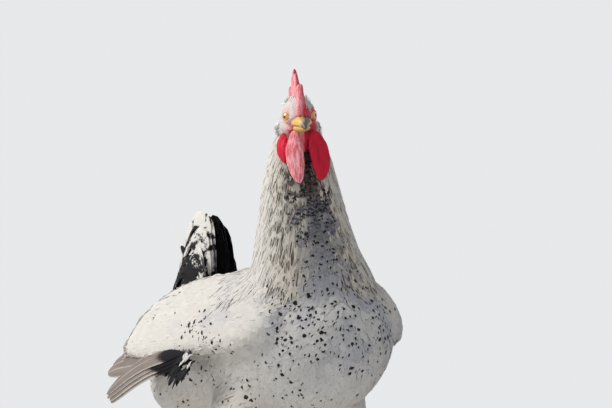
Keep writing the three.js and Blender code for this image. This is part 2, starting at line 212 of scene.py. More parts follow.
def joined(name: str, pieces: Sequence[Piece]) -> Piece:
    """Joins pieces into one mesh of separate shells.

    Args:
        name: The name of the new object.
        pieces: The objects to join, which are removed.

    Returns:
        The joined object.
    """
    form = bmesh.new()
    for piece in pieces:
        form.from_mesh(piece.data)
        bpy.data.objects.remove(piece)
    mesh = bpy.data.meshes.new(name)
    form.to_mesh(mesh)
    form.free()
    return link(name, mesh)


def melted(name: str, pieces: Sequence[Piece], voxel: float, smooth: int) -> Piece:
    """Melts overlapping pieces into one even surface.

    Args:
        name: The name of the new object.
        pieces: The objects to melt, which are removed.
        voxel: The size of the new faces.
        smooth: How many rounds of smoothing follow.

    Returns:
        The melted object.
    """
    return baked(
        joined(name, pieces),
        ("REMESH", {"mode": "VOXEL", "voxel_size": voxel, "use_smooth_shade": True}),
        ("SMOOTH", {"factor": 0.5, "iterations": smooth}),
    )


def done(
    piece: Piece, finish: Finish, slot: str, replaces: Sequence[str] = ()
) -> Piece:
    """Dresses a finished piece, hangs it on the body and hides the CAD solids that it stands for.

    Args:
        piece: The object, in place.
        finish: Its material.
        slot: Not used.
        replaces: The CAD solids that it stands for.

    Returns:
        The same object.
    """
    piece.data.materials.clear()
    piece.data.materials.append(finish)
    piece.data.polygons.foreach_set("use_smooth", [True] * len(piece.data.polygons))
    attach(piece, BODY)
    if replaces:
        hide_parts(*replaces)
    triangles = sum(len(face.vertices) - 2 for face in piece.data.polygons)
    LOG.info("%s: %d triangles", piece.name, triangles)
    return piece


def box(node: str, side: str = "left") -> Pair:
    """Gives the low and the high corner of a CAD solid, mirrored for the right side."""
    corners = np.array([tuple(corner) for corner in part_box(node)]) * (SIDES[side], 1.0, 1.0)
    return corners.min(0), corners.max(0)


def unit(rows: Rows) -> Rows:
    """Scales each row to length one."""
    return rows / np.maximum(np.linalg.norm(rows, axis=-1, keepdims=True), 1e-12)


def step(low: float, high: float, values: Rows) -> Rows:
    """Rises smoothly from 0 at low to 1 at high."""
    share = np.clip((values - low) / (high - low), 0.0, 1.0)
    return share * share * (3.0 - 2.0 * share)


def blend(first: Sequence[float], second: Sequence[float], share: Rows) -> Rows:
    """Mixes two colours by a share for each row."""
    share = np.asarray(share)[:, None]
    return np.asarray(first) * (1.0 - share) + np.asarray(second) * share


def patchy(places: Rows, size: float, seed: int) -> Rows:
    """Makes soft random patches in space.

    Args:
        places: Rows of x, y and z.
        size: About how wide a patch is.
        seed: Picks the pattern.

    Returns:
        A value from 0 to 1 for each row.
    """
    random = np.random.default_rng(seed)
    waves = random.normal(size=(14, 3)) * (1.7 / size)
    phases = random.uniform(0.0, 2.0 * math.pi, 14)
    total = np.cos(places @ waves.T + phases).sum(1) / math.sqrt(7.0)
    return 0.5 + 0.5 * np.tanh(1.3 * total)


def bumpy(places: Rows) -> Rows:
    """Gives smooth noise round 0 at rows of x, y and z, in waves about 1 wide."""
    return np.array([noise.noise(Vector(place)) for place in places.tolist()])


# ---- Shader toolkit ----


class Wire:
    """The value of a socket, on which arithmetic adds Math nodes."""

    def __init__(self, shader: "Shader", socket: bpy.types.NodeSocket) -> None:
        """Keeps the shader that the socket belongs to."""
        self.shader = shader
        self.socket = socket

    def __add__(self, other: "Wire | float") -> "Wire":
        """Adds."""
        return self.shader.math("ADD", self, other)

    def __sub__(self, other: "Wire | float") -> "Wire":
        """Subtracts."""
        return self.shader.math("SUBTRACT", self, other)

    def __rsub__(self, other: float) -> "Wire":
        """Subtracts from a number."""
        return self.shader.math("SUBTRACT", other, self)

    def __mul__(self, other: "Wire | float") -> "Wire":
        """Multiplies."""
        return self.shader.math("MULTIPLY", self, other)

    def __truediv__(self, other: "Wire | float") -> "Wire":
        """Divides."""
        return self.shader.math("DIVIDE", self, other)

    def __pow__(self, other: "Wire | float") -> "Wire":
        """Raises to a power."""
        return self.shader.math("POWER", self, other)

    def __abs__(self) -> "Wire":
        """Drops the sign."""
        return self.shader.math("ABSOLUTE", self)

    __radd__ = __add__
    __rmul__ = __mul__

    def sine(self) -> "Wire":
        """Takes the sine."""
        return self.shader.math("SINE", self)

    def larger(self, other: "Wire | float") -> "Wire":
        """Keeps the larger value."""
        return self.shader.math("MAXIMUM", self, other)

    def between(self, low: float, high: float) -> "Wire":
        """Rises smoothly from 0 to 1 between two values.

        Args:
            low: Where it is 0.
            high: Where it is 1, which may be the smaller.

        Returns:
            The smooth step.
        """
        flip = low > high
        ends = {"From Min": min(low, high), "From Max": max(low, high)}
        ends |= {"To Min": 1.0 if flip else 0.0, "To Max": 0.0 if flip else 1.0}
        settings = {"interpolation_type": "SMOOTHSTEP"}
        return self.shader.add("MapRange", settings, {"Value": self, **ends})


class Shader:
    """The nodes of a material or a world, built round the surface that it starts with."""

    def __init__(self, name: str, store: str = "materials") -> None:
        """Starts a material or a world.

        Args:
            name: Its name.
            store: Where it is kept: materials or worlds.
        """
        self.owner = getattr(bpy.data, store).new(name)
        self.owner.use_nodes = True
        self.nodes = self.owner.node_tree.nodes
        self.links = self.owner.node_tree.links
        sockets = (socket for node in self.nodes for socket in node.inputs)
        self.outlet = next(socket for socket in sockets if socket.name == "Surface")
        self.surface = self.outlet.links[0].from_node

    def feed(self, socket: bpy.types.NodeSocket, value: Wire | float | Sequence[float]) -> None:
        """Links a wire to a socket, or sets a constant.

        Args:
            socket: The input.
            value: The wire, the number, or the colour or vector.
        """
        if isinstance(value, Wire):
            self.links.new(value.socket, socket)
            return
        if not isinstance(value, (int, float)):
            value = (*value, 1.0)[: len(socket.default_value)]
        socket.default_value = value

    def add(
        self, kind: str, settings: dict | None = None, sockets: dict | None = None, output: int | str = 0
    ) -> Wire:
        """Adds any node.

        Args:
            kind: The node's type, without ShaderNode before it.
            settings: Its properties, which are set first.
            sockets: Values or wires for its inputs, by name or number.
            output: The output that the wire takes.

        Returns:
            A wire on that output.
        """
        node = self.nodes.new(f"ShaderNode{kind}")
        for key, value in (settings or {}).items():
            setattr(node, key, value)
        for key, value in (sockets or {}).items():
            self.feed(node.inputs[key], value)
        return Wire(self, node.outputs[output])

    def math(self, operation: str, *values: Wire | float) -> Wire:
        """Adds a Math node."""
        return self.add("Math", {"operation": operation}, dict(enumerate(values)))

    def mix(
        self,
        share: Wire | float,
        first: Wire | Sequence[float],
        second: Wire | Sequence[float],
        blend_type: str = "MIX",
    ) -> Wire:
        """Mixes two colours.

        Args:
            share: How much of the second colour shows.
            first: The first colour.
            second: The second colour.
            blend_type: How they are blended.

        Returns:
            The mixed colour.
        """
        settings = {"data_type": "RGBA", "blend_type": blend_type}
        return self.add("Mix", settings, {0: share, 6: first, 7: second}, 2)

    def vector(self, operation: str, sockets: dict, output: int | str = 0) -> Wire:
        """Adds a Vector Math node."""
        return self.add("VectorMath", {"operation": operation}, sockets, output)

    def parts(self, value: Wire, kind: str, outputs: Sequence[int | str]) -> list[Wire]:
        """Splits a colour or a vector, with kind Color or XYZ, into some of its numbers."""
        return [self.add(f"Separate{kind}", None, {0: value}, output) for output in outputs]

    def noise(self, scale: float, detail: float = 3.0, stretch: Sequence[float] = (1.0, 1.0, 1.0)) -> Wire:
        """Adds noise over the object's own coordinates.

        Args:
            scale: How many waves there are to a metre.
            detail: How many finer layers it has.
            stretch: How much faster it changes along each axis.

        Returns:
            A value from 0 to 1.
        """
        place = self.add("TexCoord", output="Object")
        if tuple(stretch) != (1.0, 1.0, 1.0):
            place = self.add("Mapping", None, {"Vector": place, "Scale": stretch})
        return self.add("TexNoise", None, {"Vector": place, "Scale": scale, "Detail": detail})

    def cells(self, scale: float, feature: str = "F1") -> Wire:
        """Adds the distance to the nearest of many scattered points, or to the edge between them."""
        place = self.add("TexCoord", output="Object")
        return self.add("TexVoronoi", {"feature": feature}, {"Vector": place, "Scale": scale})

    def attribute(self, name: str, output: str = "Fac") -> Wire:
        """Reads an attribute of the mesh."""
        return self.add("Attribute", {"attribute_name": name}, output=output)

    def bump(self, height: Wire, distance: float, strength: float = 1.0) -> Wire:
        """Turns a height from 0 to 1 into a bent normal."""
        sockets = {"Height": height, "Distance": distance, "Strength": strength}
        return self.add("Bump", None, sockets)

    def cover(self, share: Wire | float, other: Wire) -> None:
        """Mixes another shader into the finished surface.

        Args:
            share: The share of the other shader.
            other: Its output.
        """
        own = Wire(self, self.surface.outputs[0])
        self.feed(self.outlet, self.add("MixShader", None, {0: share, 1: own, 2: other}))

    def seen(self) -> Wire:
        """Tells what is seen, also in mirrors and through glass, from what only lights the bird.

        Returns:
            1 for the rays that see it, or else 0.
        """
        rays = [f"Is {kind} Ray" for kind in ("Camera", "Glossy", "Transmission")]
        camera, glossy, glass = (self.add("LightPath", output=ray) for ray in rays)
        return camera.larger(glossy).larger(glass)

    def done(self, **sockets: Wire | float | Sequence[float]) -> Finish | bpy.types.World:
        """Sets the surface's sockets.

        Args:
            **sockets: Values or wires by the socket's name, with _ for each space.

        Returns:
            The material or the world.
        """
        for key, value in sockets.items():
            self.feed(self.surface.inputs[key.replace("_", " ")], value)
        return self.owner


# ---- Frames of reference ----


class HeadFrame:
    """The head's own axes: x to the bird's left, y back from the bill, z up, from the middle of the skull."""

    EYE = (10.4 * MM, -9.5 * MM, -1.2 * MM)
    BALL = 7.0 * MM
    GAZE = (-0.72, 0.02)

    def __init__(self) -> None:
        """Finds the axes from the two eyeballs."""
        left, right = (sum(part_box(f"eye_{side}"), Vector()) / 2 for side in SIDES)
        lateral = (left - right).normalized()
        forward = lateral.cross(Vector((0.0, 0.0, 1.0))).normalized()
        up = lateral.cross(-forward)
        middle = (left + right) / 2
        self.axes = np.array([lateral, -forward, up])
        self.origin = np.array(middle) - self.axes[1] * self.EYE[1] - self.axes[2] * self.EYE[2]

    def inward(self, places: Rows) -> Rows:
        """Turns places of the shared frame into the head's frame."""
        return (places - self.origin) @ self.axes.T

    @staticmethod
    def folded(local: Rows) -> Rows:
        """Folds places of the head's frame onto its left half."""
        return np.abs(local) * (1, 0, 0) + local * (0, 1, 1)

    def from_eye(self, local: Rows) -> Rows:
        """Gives how far places of the head's frame are from the nearer eye, all in millimetres."""
        return np.linalg.norm(self.folded(local) - np.array(self.EYE) / MM, axis=1)

    def outward(self, places: Rows) -> Rows:
        """Turns places of the head's frame into the shared frame."""
        return np.asarray(places) @ self.axes + self.origin

    def turned(self, ways: Rows) -> Rows:
        """Turns directions of the head's frame into the shared frame."""
        return np.asarray(ways) @ self.axes


class Ground:
    """A surface that feathers grow on, with its smooth normals and the CAD solid nearest to each place."""

    def __init__(self, mesh: bpy.types.Mesh, nodes: Sequence[str]) -> None:
        """Builds the search trees.

        Args:
            mesh: The surface.
            nodes: Names of the CAD solids that its parts follow.
        """
        self.mesh = mesh
        mesh.calc_loop_triangles()
        corners = np.empty(len(mesh.loop_triangles) * 3, int)
        mesh.loop_triangles.foreach_get("vertices", corners)
        self.corners = corners.reshape(-1, 3)
        self.places = places_of(mesh)
        self.normals = normals_of(mesh)
        self.tree = BVHTree.FromPolygons(self.places.tolist(), self.corners.tolist())
        self.nodes = list(nodes)
        self.solids = []
        for node in nodes:
            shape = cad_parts[node].data
            faces = [tuple(face.vertices) for face in shape.polygons]
            self.solids.append(BVHTree.FromPolygons([tuple(v.co) for v in shape.vertices], faces))

    def areas(self) -> Rows:
        """Gives the area of each triangle."""
        a, b, c = (self.places[self.corners[:, i]] for i in range(3))
        return np.linalg.norm(np.cross(b - a, c - a), axis=1) / 2

    def nearest(self, places: Rows) -> Pair:
        """Finds the nearest place of the surface to each of the given ones.

        Args:
            places: Rows of x, y and z.

        Returns:
            The nearest places and the smooth normals there.
        """
        hits = [self.tree.find_nearest(place) for place in places.tolist()]
        found = np.array([tuple(hit[0]) for hit in hits])
        corners = self.corners[[hit[2] for hit in hits]]
        a, b, c = (self.places[corners[:, i]] for i in range(3))
        whole = np.linalg.norm(np.cross(b - a, c - a), axis=1)
        parts = [np.linalg.norm(np.cross(q - found, r - found), axis=1) for q, r in ((b, c), (c, a), (a, b))]
        share = np.stack(parts, 1) / np.maximum(whole, 1e-12)[:, None]
        return found, unit((self.normals[corners] * share[..., None]).sum(1))

    def owners(self, places: Rows) -> Rows:
        """Gives the name of the CAD solid nearest to each place."""
        rows = [[solid.find_nearest(place)[3] for solid in self.solids] for place in places.tolist()]
        return np.array(self.nodes)[np.argmin(rows, axis=1)]


# ---- Markings, shared by the skin and the coat ----


class Markings:
    """The colours of the plumage by place, alike on skin and coat."""

    SET_BACK = 4 * MM  # of the throat's axis behind the middle of the neck
    TURN = (-6.0, -14.0)  # degrees of the throat from straight ahead: low down, and more under the head
    HALF = (21.0, 27.0)  # degrees of half the throat: under the head, and more low down
    FADE = 9.0  # degrees over which its edge fades
    RAGGED = 26.0  # degrees by which its edge wanders

    def __init__(self) -> None:
        """Measures the trunk and the neck, which the markings follow."""
        self.low, self.high = box("trunk")
        neck = places_of(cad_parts["neck"].data)
        self.neck_low, self.neck_high = neck[:, 2].min(), neck[:, 2].max()
        self.neck_line = np.polyfit(neck[:, 2], neck[:, :2], 1)

    def throat_angle(self, places: Rows) -> Rows:
        """Gives how far round the neck a place is from the middle of the throat.

        Args:
            places: Rows of x, y and z.

        Returns:
            Degrees from 0 at the throat to 180 at the nape, positive on the bird's left.
        """
        rise = np.clip(self.rise(places), 0.0, 1.0)
        middle = self.neck_line[0] * places[:, 2:3] + self.neck_line[1]
        middle[:, 1] += self.SET_BACK
        offset = places[:, :2] - middle
        facing = np.radians(self.TURN[0] + self.TURN[1] * rise)
        angle = np.arctan2(offset[:, 0], -offset[:, 1]) - facing
        return np.degrees((angle + math.pi) % (2 * math.pi) - math.pi)

    def rise(self, places: Rows) -> Rows:
        """Gives the height of a place on the neck, from 0 at its foot to 1 under the head."""
        return (places[:, 2] - self.neck_low) / (self.neck_high - self.neck_low)

    def throat(self, places: Rows) -> Rows:
        """Gives how far a place belongs to the dark throat, narrow under the wattles and wide at its foot.

        Args:
            places: Rows of x, y and z.

        Returns:
            Shares from 0 to 1.
        """
        rise = self.rise(places)
        half = self.HALF[0] + self.HALF[1] * step(0.40, 0.0, rise)
        angle = np.abs(self.throat_angle(places)) + self.RAGGED * (patchy(places, 8 * MM, 21) - 0.5)
        return step(half + self.FADE, half - self.FADE, angle) * step(1.1, 0.95, rise)

    def base(self, places: Rows, owners: Rows) -> Rows:
        """Gives the plain colour of the plumage at each place, with painted lilac shade on the front of the
        throat and upper breast.

        Args:
            places: Rows of x, y and z.
            owners: The CAD solid that each place belongs to.

        Returns:
            Rows of red, green and blue.
        """
        rise, angle = self.rise(places), np.abs(self.throat_angle(places))
        plain = blend(WHITE, CREAM, 0.15 * patchy(places, 60 * MM, 3))
        # Painted shade: patches of lilac grey on the front of the lower throat and upper breast.
        cloud = step(80.0, 35.0, angle) * step(-0.42, -0.10, rise)
        cloud *= 0.15 + 0.50 * patchy(places, 13 * MM, 5)
        lilac_shaded = plain + (np.array(SKY_SHADE_LILAC) - plain) * cloud[:, None]
        cream = 0.02 + 0.10 * patchy(places, 25 * MM, 4) + 0.65 * step(72.0, 25.0, angle)
        hackle = blend(WHITE, CREAM, cream)
        throat = self.throat(places)[:, None]
        neck = hackle + (lilac_shaded - hackle) * throat
        neck = neck + (np.array(SLATE) - neck) * throat * (0.10 + 0.85 * step(0.12, 0.58, rise))[:, None]
        choice = [(owners == "neck")[:, None], (owners == "trunk")[:, None]]
        return np.select(choice, [neck, lilac_shaded], plain)


# ---- Skin ----


@dataclass(frozen=True)
class SkinFinish:
    """Bare red flesh on the head with pinkish-white scurf and painted highlight, pale skin under the feathers
    and yellow scales on the legs.
    """

    red: tuple = (0.66, 0.010, 0.040)
    deep: tuple = (0.26, 0.004, 0.014)
    # Pinkish white: partly scurf, partly painted highlight on lit flesh.
    bloom_and_highlight: tuple = (0.93, 0.52, 0.56)
    horn: tuple = (0.62, 0.44, 0.17)
    # Dark brown of the legs, in patches, over the sunken foot of each scute and along the cracks.
    scute_brown: tuple = (0.28, 0.18, 0.07)
    pimples: float = 900.0
    cracks: float = 330.0
    relief: float = 0.22 * MM
    blood: tuple = (0.004, 0.0012, 0.0008)

    def material(self) -> Finish:
        """Builds the material.

        Returns:
            The material of the skin.
        """
        shader = Shader("skin")
        tint = shader.attribute("Tint", "Color")
        red = shader.attribute("Red")
        scale = shader.attribute("Scale")
        plate = shader.attribute("Plate")
        bloom_and_highlight = shader.attribute("Bloom")
        pimples = shader.cells(self.pimples)
        veins = shader.noise(160.0, 4.0, (1.0, 1.0, 0.35))
        streaks = shader.noise(520.0, 3.0, (1.0, 1.0, 0.16)).between(0.42, 0.62)
        # Pinkish white over the pimples and in vertical streaks: partly scurf, partly painted highlight.
        flesh = shader.mix(veins.between(0.45, 0.75) * (1.0 - bloom_and_highlight) * 0.7, self.red, self.deep)
        flesh = shader.mix(pimples.between(0.50, 0.15) * (bloom_and_highlight * 0.55 + 0.02), flesh, self.bloom_and_highlight)
        flesh = shader.mix((streaks * 0.65 + 0.25) * bloom_and_highlight, flesh, self.bloom_and_highlight)
        # Darker brown in random patches and over the sunken foot of each scute, just under the raised edge of
        # the next, and along the cracks between scutes.
        scute_brown = shader.noise(210.0, 5.0).between(0.50, 0.72) * 0.35 + plate.between(0.72, 1.0) * 0.75
        legs = shader.mix(scute_brown.between(0.0, 1.0), self.horn, self.scute_brown)
        crack = shader.cells(self.cracks, "DISTANCE_TO_EDGE")
        legs = shader.mix(crack.between(0.09, 0.0) * 0.35, legs, self.scute_brown)
        colour = shader.mix(red, tint, flesh)
        colour = shader.mix(scale, colour, legs)
        height = pimples.between(0.50, 0.0) * red * (1.0 - scale) + crack.between(0.0, 0.14) * scale
        height = height + shader.noise(420.0, 4.0) * 0.3
        rough = 0.62 - red * 0.16 - scale * 0.12
        return shader.done(
            Base_Color=colour,
            Roughness=rough,
            Normal=shader.bump(height, self.relief),
            Specular_IOR_Level=0.11,
            Subsurface_Weight=0.10,
            Subsurface_Radius=self.blood,
            Subsurface_Scale=0.6,
        )


@dataclass
class Skin:
    """The one skin under the coat, bare on comb, face, wattles, lobes and legs."""

    head: HeadFrame
    marks: Markings
    outline_voxel: float = 4.0 * MM
    torso_voxel: float = 5.5 * MM
    head_voxel: float = 0.68 * MM
    leg_voxel: float = 0.95 * MM
    lid_opening: float = 37.0
    fold_middle: tuple = (0.5, -17.5, -24.0)
    fold_half: tuple = (7.0, 5.5, 15.0)
    hock_half: tuple = (8.3, 9.2, 11.5)
    hock_coat: tuple = (1.8, 1.8, 4.5)
    hock_ahead: float = 6.4 * MM
    hock_drop: float = 2.0 * MM
    plate: float = 6.4 * MM
    toe_plate: float = 4.2 * MM
    plate_rise: float = 0.95 * MM
    plate_fade: tuple = (14 * MM, 22 * MM)
    shank_lean: float = 0.245
    shank_top: float = 115 * MM
    shank_fade: float = 4 * MM
    thin_coat: float = 0.6
    thin_reach: float = 60 * MM
    grain: float = 0.16
    wrinkles: float = 0.75

    COAT_DEPTH = {"trunk": 8 * MM, "neck": 6 * MM, "head": 5 * MM, "wing": 4.5 * MM, "thigh": 5 * MM}
    TORSO = ("trunk", "neck", "head", "wing_left", "wing_right", "thigh_left", "thigh_right")
    FLESH = ("comb", "wattle_left", "wattle_right", "earlobe_left", "earlobe_right")
    TOES = ("inner", "middle", "outer", "hind")

    def outline(self) -> Piece:
        """Melts trunk, neck, head, wings and thighs into the smooth outline of the plumage.

        Returns:
            The outline.
        """
        copies = [solid_copy(node, 0.6 * MM, 1) for node in self.TORSO]
        copies += [self.hock(side, self.hock_coat) for side in SIDES]
        return melted("outline", copies, self.outline_voxel, 20)

    def torso(self, outline: Ground) -> Piece:
        """Draws the outline in by the depth of the coat, which is thin at the hocks.

        Args:
            outline: The outline of the plumage.

        Returns:
            The torso of the skin.
        """
        owners = outline.owners(outline.places)
        depth = np.array([self.COAT_DEPTH[name.split("_")[0]] for name in owners])
        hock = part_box("thigh_left")[0].z
        full = step(hock, hock + self.thin_reach, outline.places[:, 2])
        thin = self.thin_coat + (1.0 - self.thin_coat) * full
        depth *= np.where(np.char.startswith(owners, "thigh"), thin, 1.0)
        mesh = outline.mesh.copy()
        move_to(mesh, outline.places - outline.normals * depth[:, None])
        return melted("torso", [link("torso_raw", mesh)], self.torso_voxel, 8)

    def bare_head(self) -> Piece:
        """Melts skull, comb, wattles and lobes, with cores in the bill and lids round the eyes.

        Returns:
            The bare head.
        """
        copies = [solid_copy(node, 0.3 * MM, 2) for node in ("head", *self.FLESH)]
        copies += [solid_copy(f"eye_{side}", 0.5 * MM, 2) for side in SIDES]
        copies += [solid_copy(node, -0.8 * MM, 1) for node in ("bill_upper", "bill_lower")]
        copies.append(self.fold())
        piece = melted("bare_head", copies, self.head_voxel, 8)
        places = self.lids(places_of(piece.data))
        normals = normals_of(piece.data)
        local = self.head.inward(places) / MM
        hanging = np.maximum(step(-16.0, -24.0, local[:, 2]), step(14.0, 20.0, local[:, 2]))
        grain = bumpy(local / 1.7) * self.grain
        wrinkles = bumpy(local / (3.6, 3.6, 13.0)) * self.wrinkles * hanging
        move_to(piece.data, places + normals * (grain + wrinkles)[:, None] * MM)
        return piece

    def fold(self) -> Piece:
        """Makes the fold of red skin between the wattles.

        Returns:
            The fold, just under the bill.
        """
        mesh = made("fold", bmesh.ops.create_icosphere, subdivisions=3, radius=1.0)
        middle, half = np.array(self.fold_middle), np.array(self.fold_half)
        move_to(mesh, self.head.outward((places_of(mesh) * half + middle) * MM))
        return link("fold", mesh)

    def hock(self, side: str, coat: Sequence[float] = (0.0, 0.0, 0.0)) -> Piece:
        """Makes the knob of the hock, where the thigh meets the shank.

        Args:
            side: Left or right.
            coat: How much thicker it is with its feathers, in millimetres.

        Returns:
            The knob.
        """
        low, high = box(f"shank_{side}")
        middle = np.array([(low[0] + high[0]) / 2, high[1] - self.hock_ahead, high[2] - self.hock_drop])
        mesh = made(f"hock_{side}", bmesh.ops.create_icosphere, subdivisions=3, radius=1.0)
        move_to(mesh, places_of(mesh) * (np.array(self.hock_half) + coat) * MM + middle)
        return link(mesh.name, mesh)

    def lids(self, places: Rows) -> Rows:
        """Sculpts both eyelids: an opening over the eyeball, a thick rim and a crease round it.

        Args:
            places: The vertices of the head in the shared frame.

        Returns:
            The moved vertices.
        """
        local = self.head.inward(places)
        radius = self.head.BALL
        for sign in SIDES.values():
            centre = np.array(self.head.EYE) * (sign, 1.0, 1.0)
            axis = unit(np.array([sign, *self.head.GAZE]))
            offset = local - centre
            distance = np.linalg.norm(offset, axis=1)
            angle = np.degrees(np.arccos(np.clip(offset @ axis / distance, -1.0, 1.0)))
            level = unit(np.array([-self.head.GAZE[0] * sign, 1.0, 0.0]))
            fore = np.abs(offset @ level) / np.maximum(distance, 1e-9)
            opening = self.lid_opening + 7.0 * fore
            turns = np.array([-60.0, -2.5, 1.0, 5.5, 11.0, 17.0, 22.0, 60.0])
            heights = np.array([-1.2, -1.2, 0.45, 0.95, 0.75, 0.20, 0.55, 0.9]) * MM
            target = radius + np.interp(angle - opening, turns, heights)
            share = step(opening + 42.0, opening + 20.0, angle)
            share *= step(radius + 7 * MM, radius + 4 * MM, distance)
            local = centre + offset * (1.0 + share * (target / distance - 1.0))[:, None]
        return self.head.outward(local)

    def scutes(self, side: str, places: Rows, normals: Rows) -> Pair:
        """Lays rows of overlapping plates down the front of the shank and over the toes.

        Args:
            side: Left or right.
            places: Places on the leg.
            normals: The normals there.

        Returns:
            How far each place is across its plate, from 0 to 1, and how much of a plate it is.
        """
        offset = places - sum(box(f"foot_{side}")) / 2
        rise = places[:, 2]
        back = self.shank_lean * (rise - 10 * MM)
        angle = np.degrees(np.arctan2(offset[:, 0], back - offset[:, 1]))
        shank = step(*self.plate_fade, rise)
        front = shank * step(100.0, 75.0, np.abs(angle)) * step(0.0, 9.0, np.abs(angle))
        row = rise / self.plate + 0.5 * (angle > 0.0)
        reach = np.linalg.norm(offset[:, :2], axis=1) / self.toe_plate
        across = np.where(shank > 0.5, row % 1.0, 1.0 - reach % 1.0)
        return across, front + (1.0 - shank) * step(0.0, 0.5, normals[:, 2])

    def leg_nodes(self, side: str) -> list[str]:
        """Names the CAD solids of a leg."""
        return [f"{part}_{side}" for part in ("shank", "foot", *(f"toe_{toe}" for toe in self.TOES))]

    def leg(self, side: str) -> Piece:
        """Melts a shank, foot and toes and cuts their scutes.

        Args:
            side: Left or right.

        Returns:
            The scaled leg.
        """
        copies = [solid_copy(node, 0.3 * MM, 1) for node in self.leg_nodes(side)] + [self.hock(side)]
        piece = melted(f"leg_{side}", copies, self.leg_voxel, 5)
        places, normals = places_of(piece.data), normals_of(piece.data)
        across, share = self.scutes(side, places, normals)
        places += normals * ((0.5 - across) * share * self.plate_rise)[:, None]
        places[:, 2] = np.maximum(places[:, 2], 0.0)
        move_to(piece.data, places)
        return piece

    def build(self, outline: Ground) -> Piece:
        """Joins torso, head and legs into one skin and paints it.

        Args:
            outline: The outline of the plumage.

        Returns:
            The skin.
        """
        skin = self.torso(outline)
        parts = [self.bare_head(), *(self.leg(side) for side in SIDES)]
        self.face = Ground(parts[0].data, ("head", *self.FLESH, "bill_upper", "bill_lower", "neck"))
        unions = [{"operation": "UNION", "solver": "MANIFOLD", "object": part} for part in parts]
        baked(skin, *(("BOOLEAN", union) for union in unions))
        for part in parts:
            bpy.data.objects.remove(part)
        skin.name = skin.data.name = "skin"
        self.paint(skin.data)
        legs = [node for side in SIDES for node in self.leg_nodes(side)]
        return done(skin, SkinFinish().material(), "red_skin", (*self.TORSO, *self.FLESH, *legs))

    def paint(self, mesh: bpy.types.Mesh) -> None:
        """Stores the colour of the plumage, the red of bare flesh and the place of the leg scales.

        Args:
            mesh: The mesh of the skin.
        """
        places, normals = places_of(mesh), normals_of(mesh)
        nodes = (*self.TORSO, *self.FLESH, "shank_left", "shank_right", "foot_left", "foot_right")
        owners = Ground(mesh, nodes).owners(places)
        local = self.head.inward(places) / MM
        across, back, up = local.T
        left = step(-4.0, 5.0, across)
        forehead = step(-16.0, -22.0, back) * (0.45 + 0.45 * left)
        face = np.maximum(step(14.0, 9.0, self.head.from_eye(local)) * (0.35 + 0.55 * left), forehead)
        corner = np.maximum(0.30 + 0.65 * left, 0.80 * step(-7.0, -15.0, back))
        cheek = step(-5.0, -9.0, up) * step(3.0, -7.0, back) * corner
        chin = step(-11.0, -16.0, up) * step(-4.0, -10.0, back) * step(-42.0, -36.0, up)
        red = np.isin(owners, self.FLESH).astype(float)
        red = np.where(owners == "head", np.maximum(np.maximum(face, cheek), 0.15), red)
        paint(mesh, "Red", np.maximum(red, chin * step(19.0, 14.0, np.abs(across))))
        legs = step(self.shank_top, self.shank_top - self.shank_fade, places[:, 2])
        plates = [np.multiply(*self.scutes(side, places, normals)) for side in SIDES]
        paint(mesh, "Scale", legs)
        paint(mesh, "Plate", np.where(places[:, 0] > 0.0, *plates) * legs)
        # Pinkish white, partly scurf and partly painted highlight: on the comb from 0.3 on its far face to
        # full on its face towards the bird's right, where the key lamp stands, less near its foot; 0.95 on
        # the right wattle and 0.02 elsewhere.
        facing = normals @ self.head.turned(np.array([-1.0, 0.0, 0.0]))
        comb = 0.30 + 0.70 * step(-0.4, 0.3, facing) - 0.25 * step(14.0, 6.0, up)
        bloom_and_highlight = np.where(owners == "comb", comb, np.where(owners == "wattle_right", 0.95, 0.02))
        paint(mesh, "Bloom", bloom_and_highlight)
        paint(mesh, "Tint", self.marks.base(places, owners))


# ---- Feathers ----


@dataclass(frozen=True)
class Shape:
    """The outline of a vane, given as shares of its length and half width."""

    columns: int
    rows: int
    widest: float
    foot: float
    point: float
    ragged: float
    bow: float
    variants: int = 4


class Cut(Enum):
    """The kinds of feather."""

    ROUND = Shape(6, 6, 0.62, 0.45, 2.0, 0.30, 0.03)
    LANCE = Shape(2, 9, 0.35, 0.45, 1.5, 0.12, 0.10)
    DOWN = Shape(6, 7, 0.50, 0.30, 1.6, 0.55, 0.05)
    TUFT = Shape(2, 4, 0.40, 0.50, 1.3, 0.25, 0.20)
    FLIGHT = Shape(10, 30, 0.30, 0.25, 5.0, 0.04, 0.10)
    COVERT = Shape(6, 12, 0.50, 0.35, 1.8, 0.30, 0.12)
    PLUME = Shape(8, 22, 0.45, 0.45, 2.4, 0.22, 0.09)


@dataclass
class Template:
    """One vane as a flat grid: how far across and along each vertex lies, and the faces between them."""

    across: Rows
    along: Rows
    spread: Rows
    faces: Rows

    @staticmethod
    def cut(shape: Shape, random: np.random.Generator) -> "Template":
        """Cuts one vane out of a grid.

        Args:
            shape: Its outline.
            random: The seeded source of chance, for its ragged edge.

        Returns:
            The vane.
        """
        form = bmesh.new()
        bmesh.ops.create_grid(form, x_segments=shape.columns, y_segments=shape.rows, size=1.0)
        grid = np.array([tuple(vertex.co) for vertex in form.verts])
        faces = np.array([[vertex.index for vertex in face.verts] for face in form.faces])
        form.free()
        across = grid[:, 0]
        along = 1.0 - (1.0 - (grid[:, 1] + 1.0) / 2.0) ** 1.25
        rising = shape.foot + (1.0 - shape.foot) * step(0.0, shape.widest, along)
        end = np.clip((along - shape.widest) / (1.0 - shape.widest), 0.0, 1.0)
        falling = (1.0 - end ** shape.point) ** (1.0 / min(shape.point, 2.0))
        spread = np.where(along < shape.widest, rising, np.maximum(falling, 0.05))
        edge = np.abs(across) > 0.99
        notch = 1.0 - shape.ragged * random.random(len(across)) * edge
        slip = shape.ragged * 0.30 * (random.random(len(across)) - 0.6) * step(0.3, 1.0, along)
        return Template(across, np.clip(along + slip, 0.0, 1.0), spread * notch, faces)


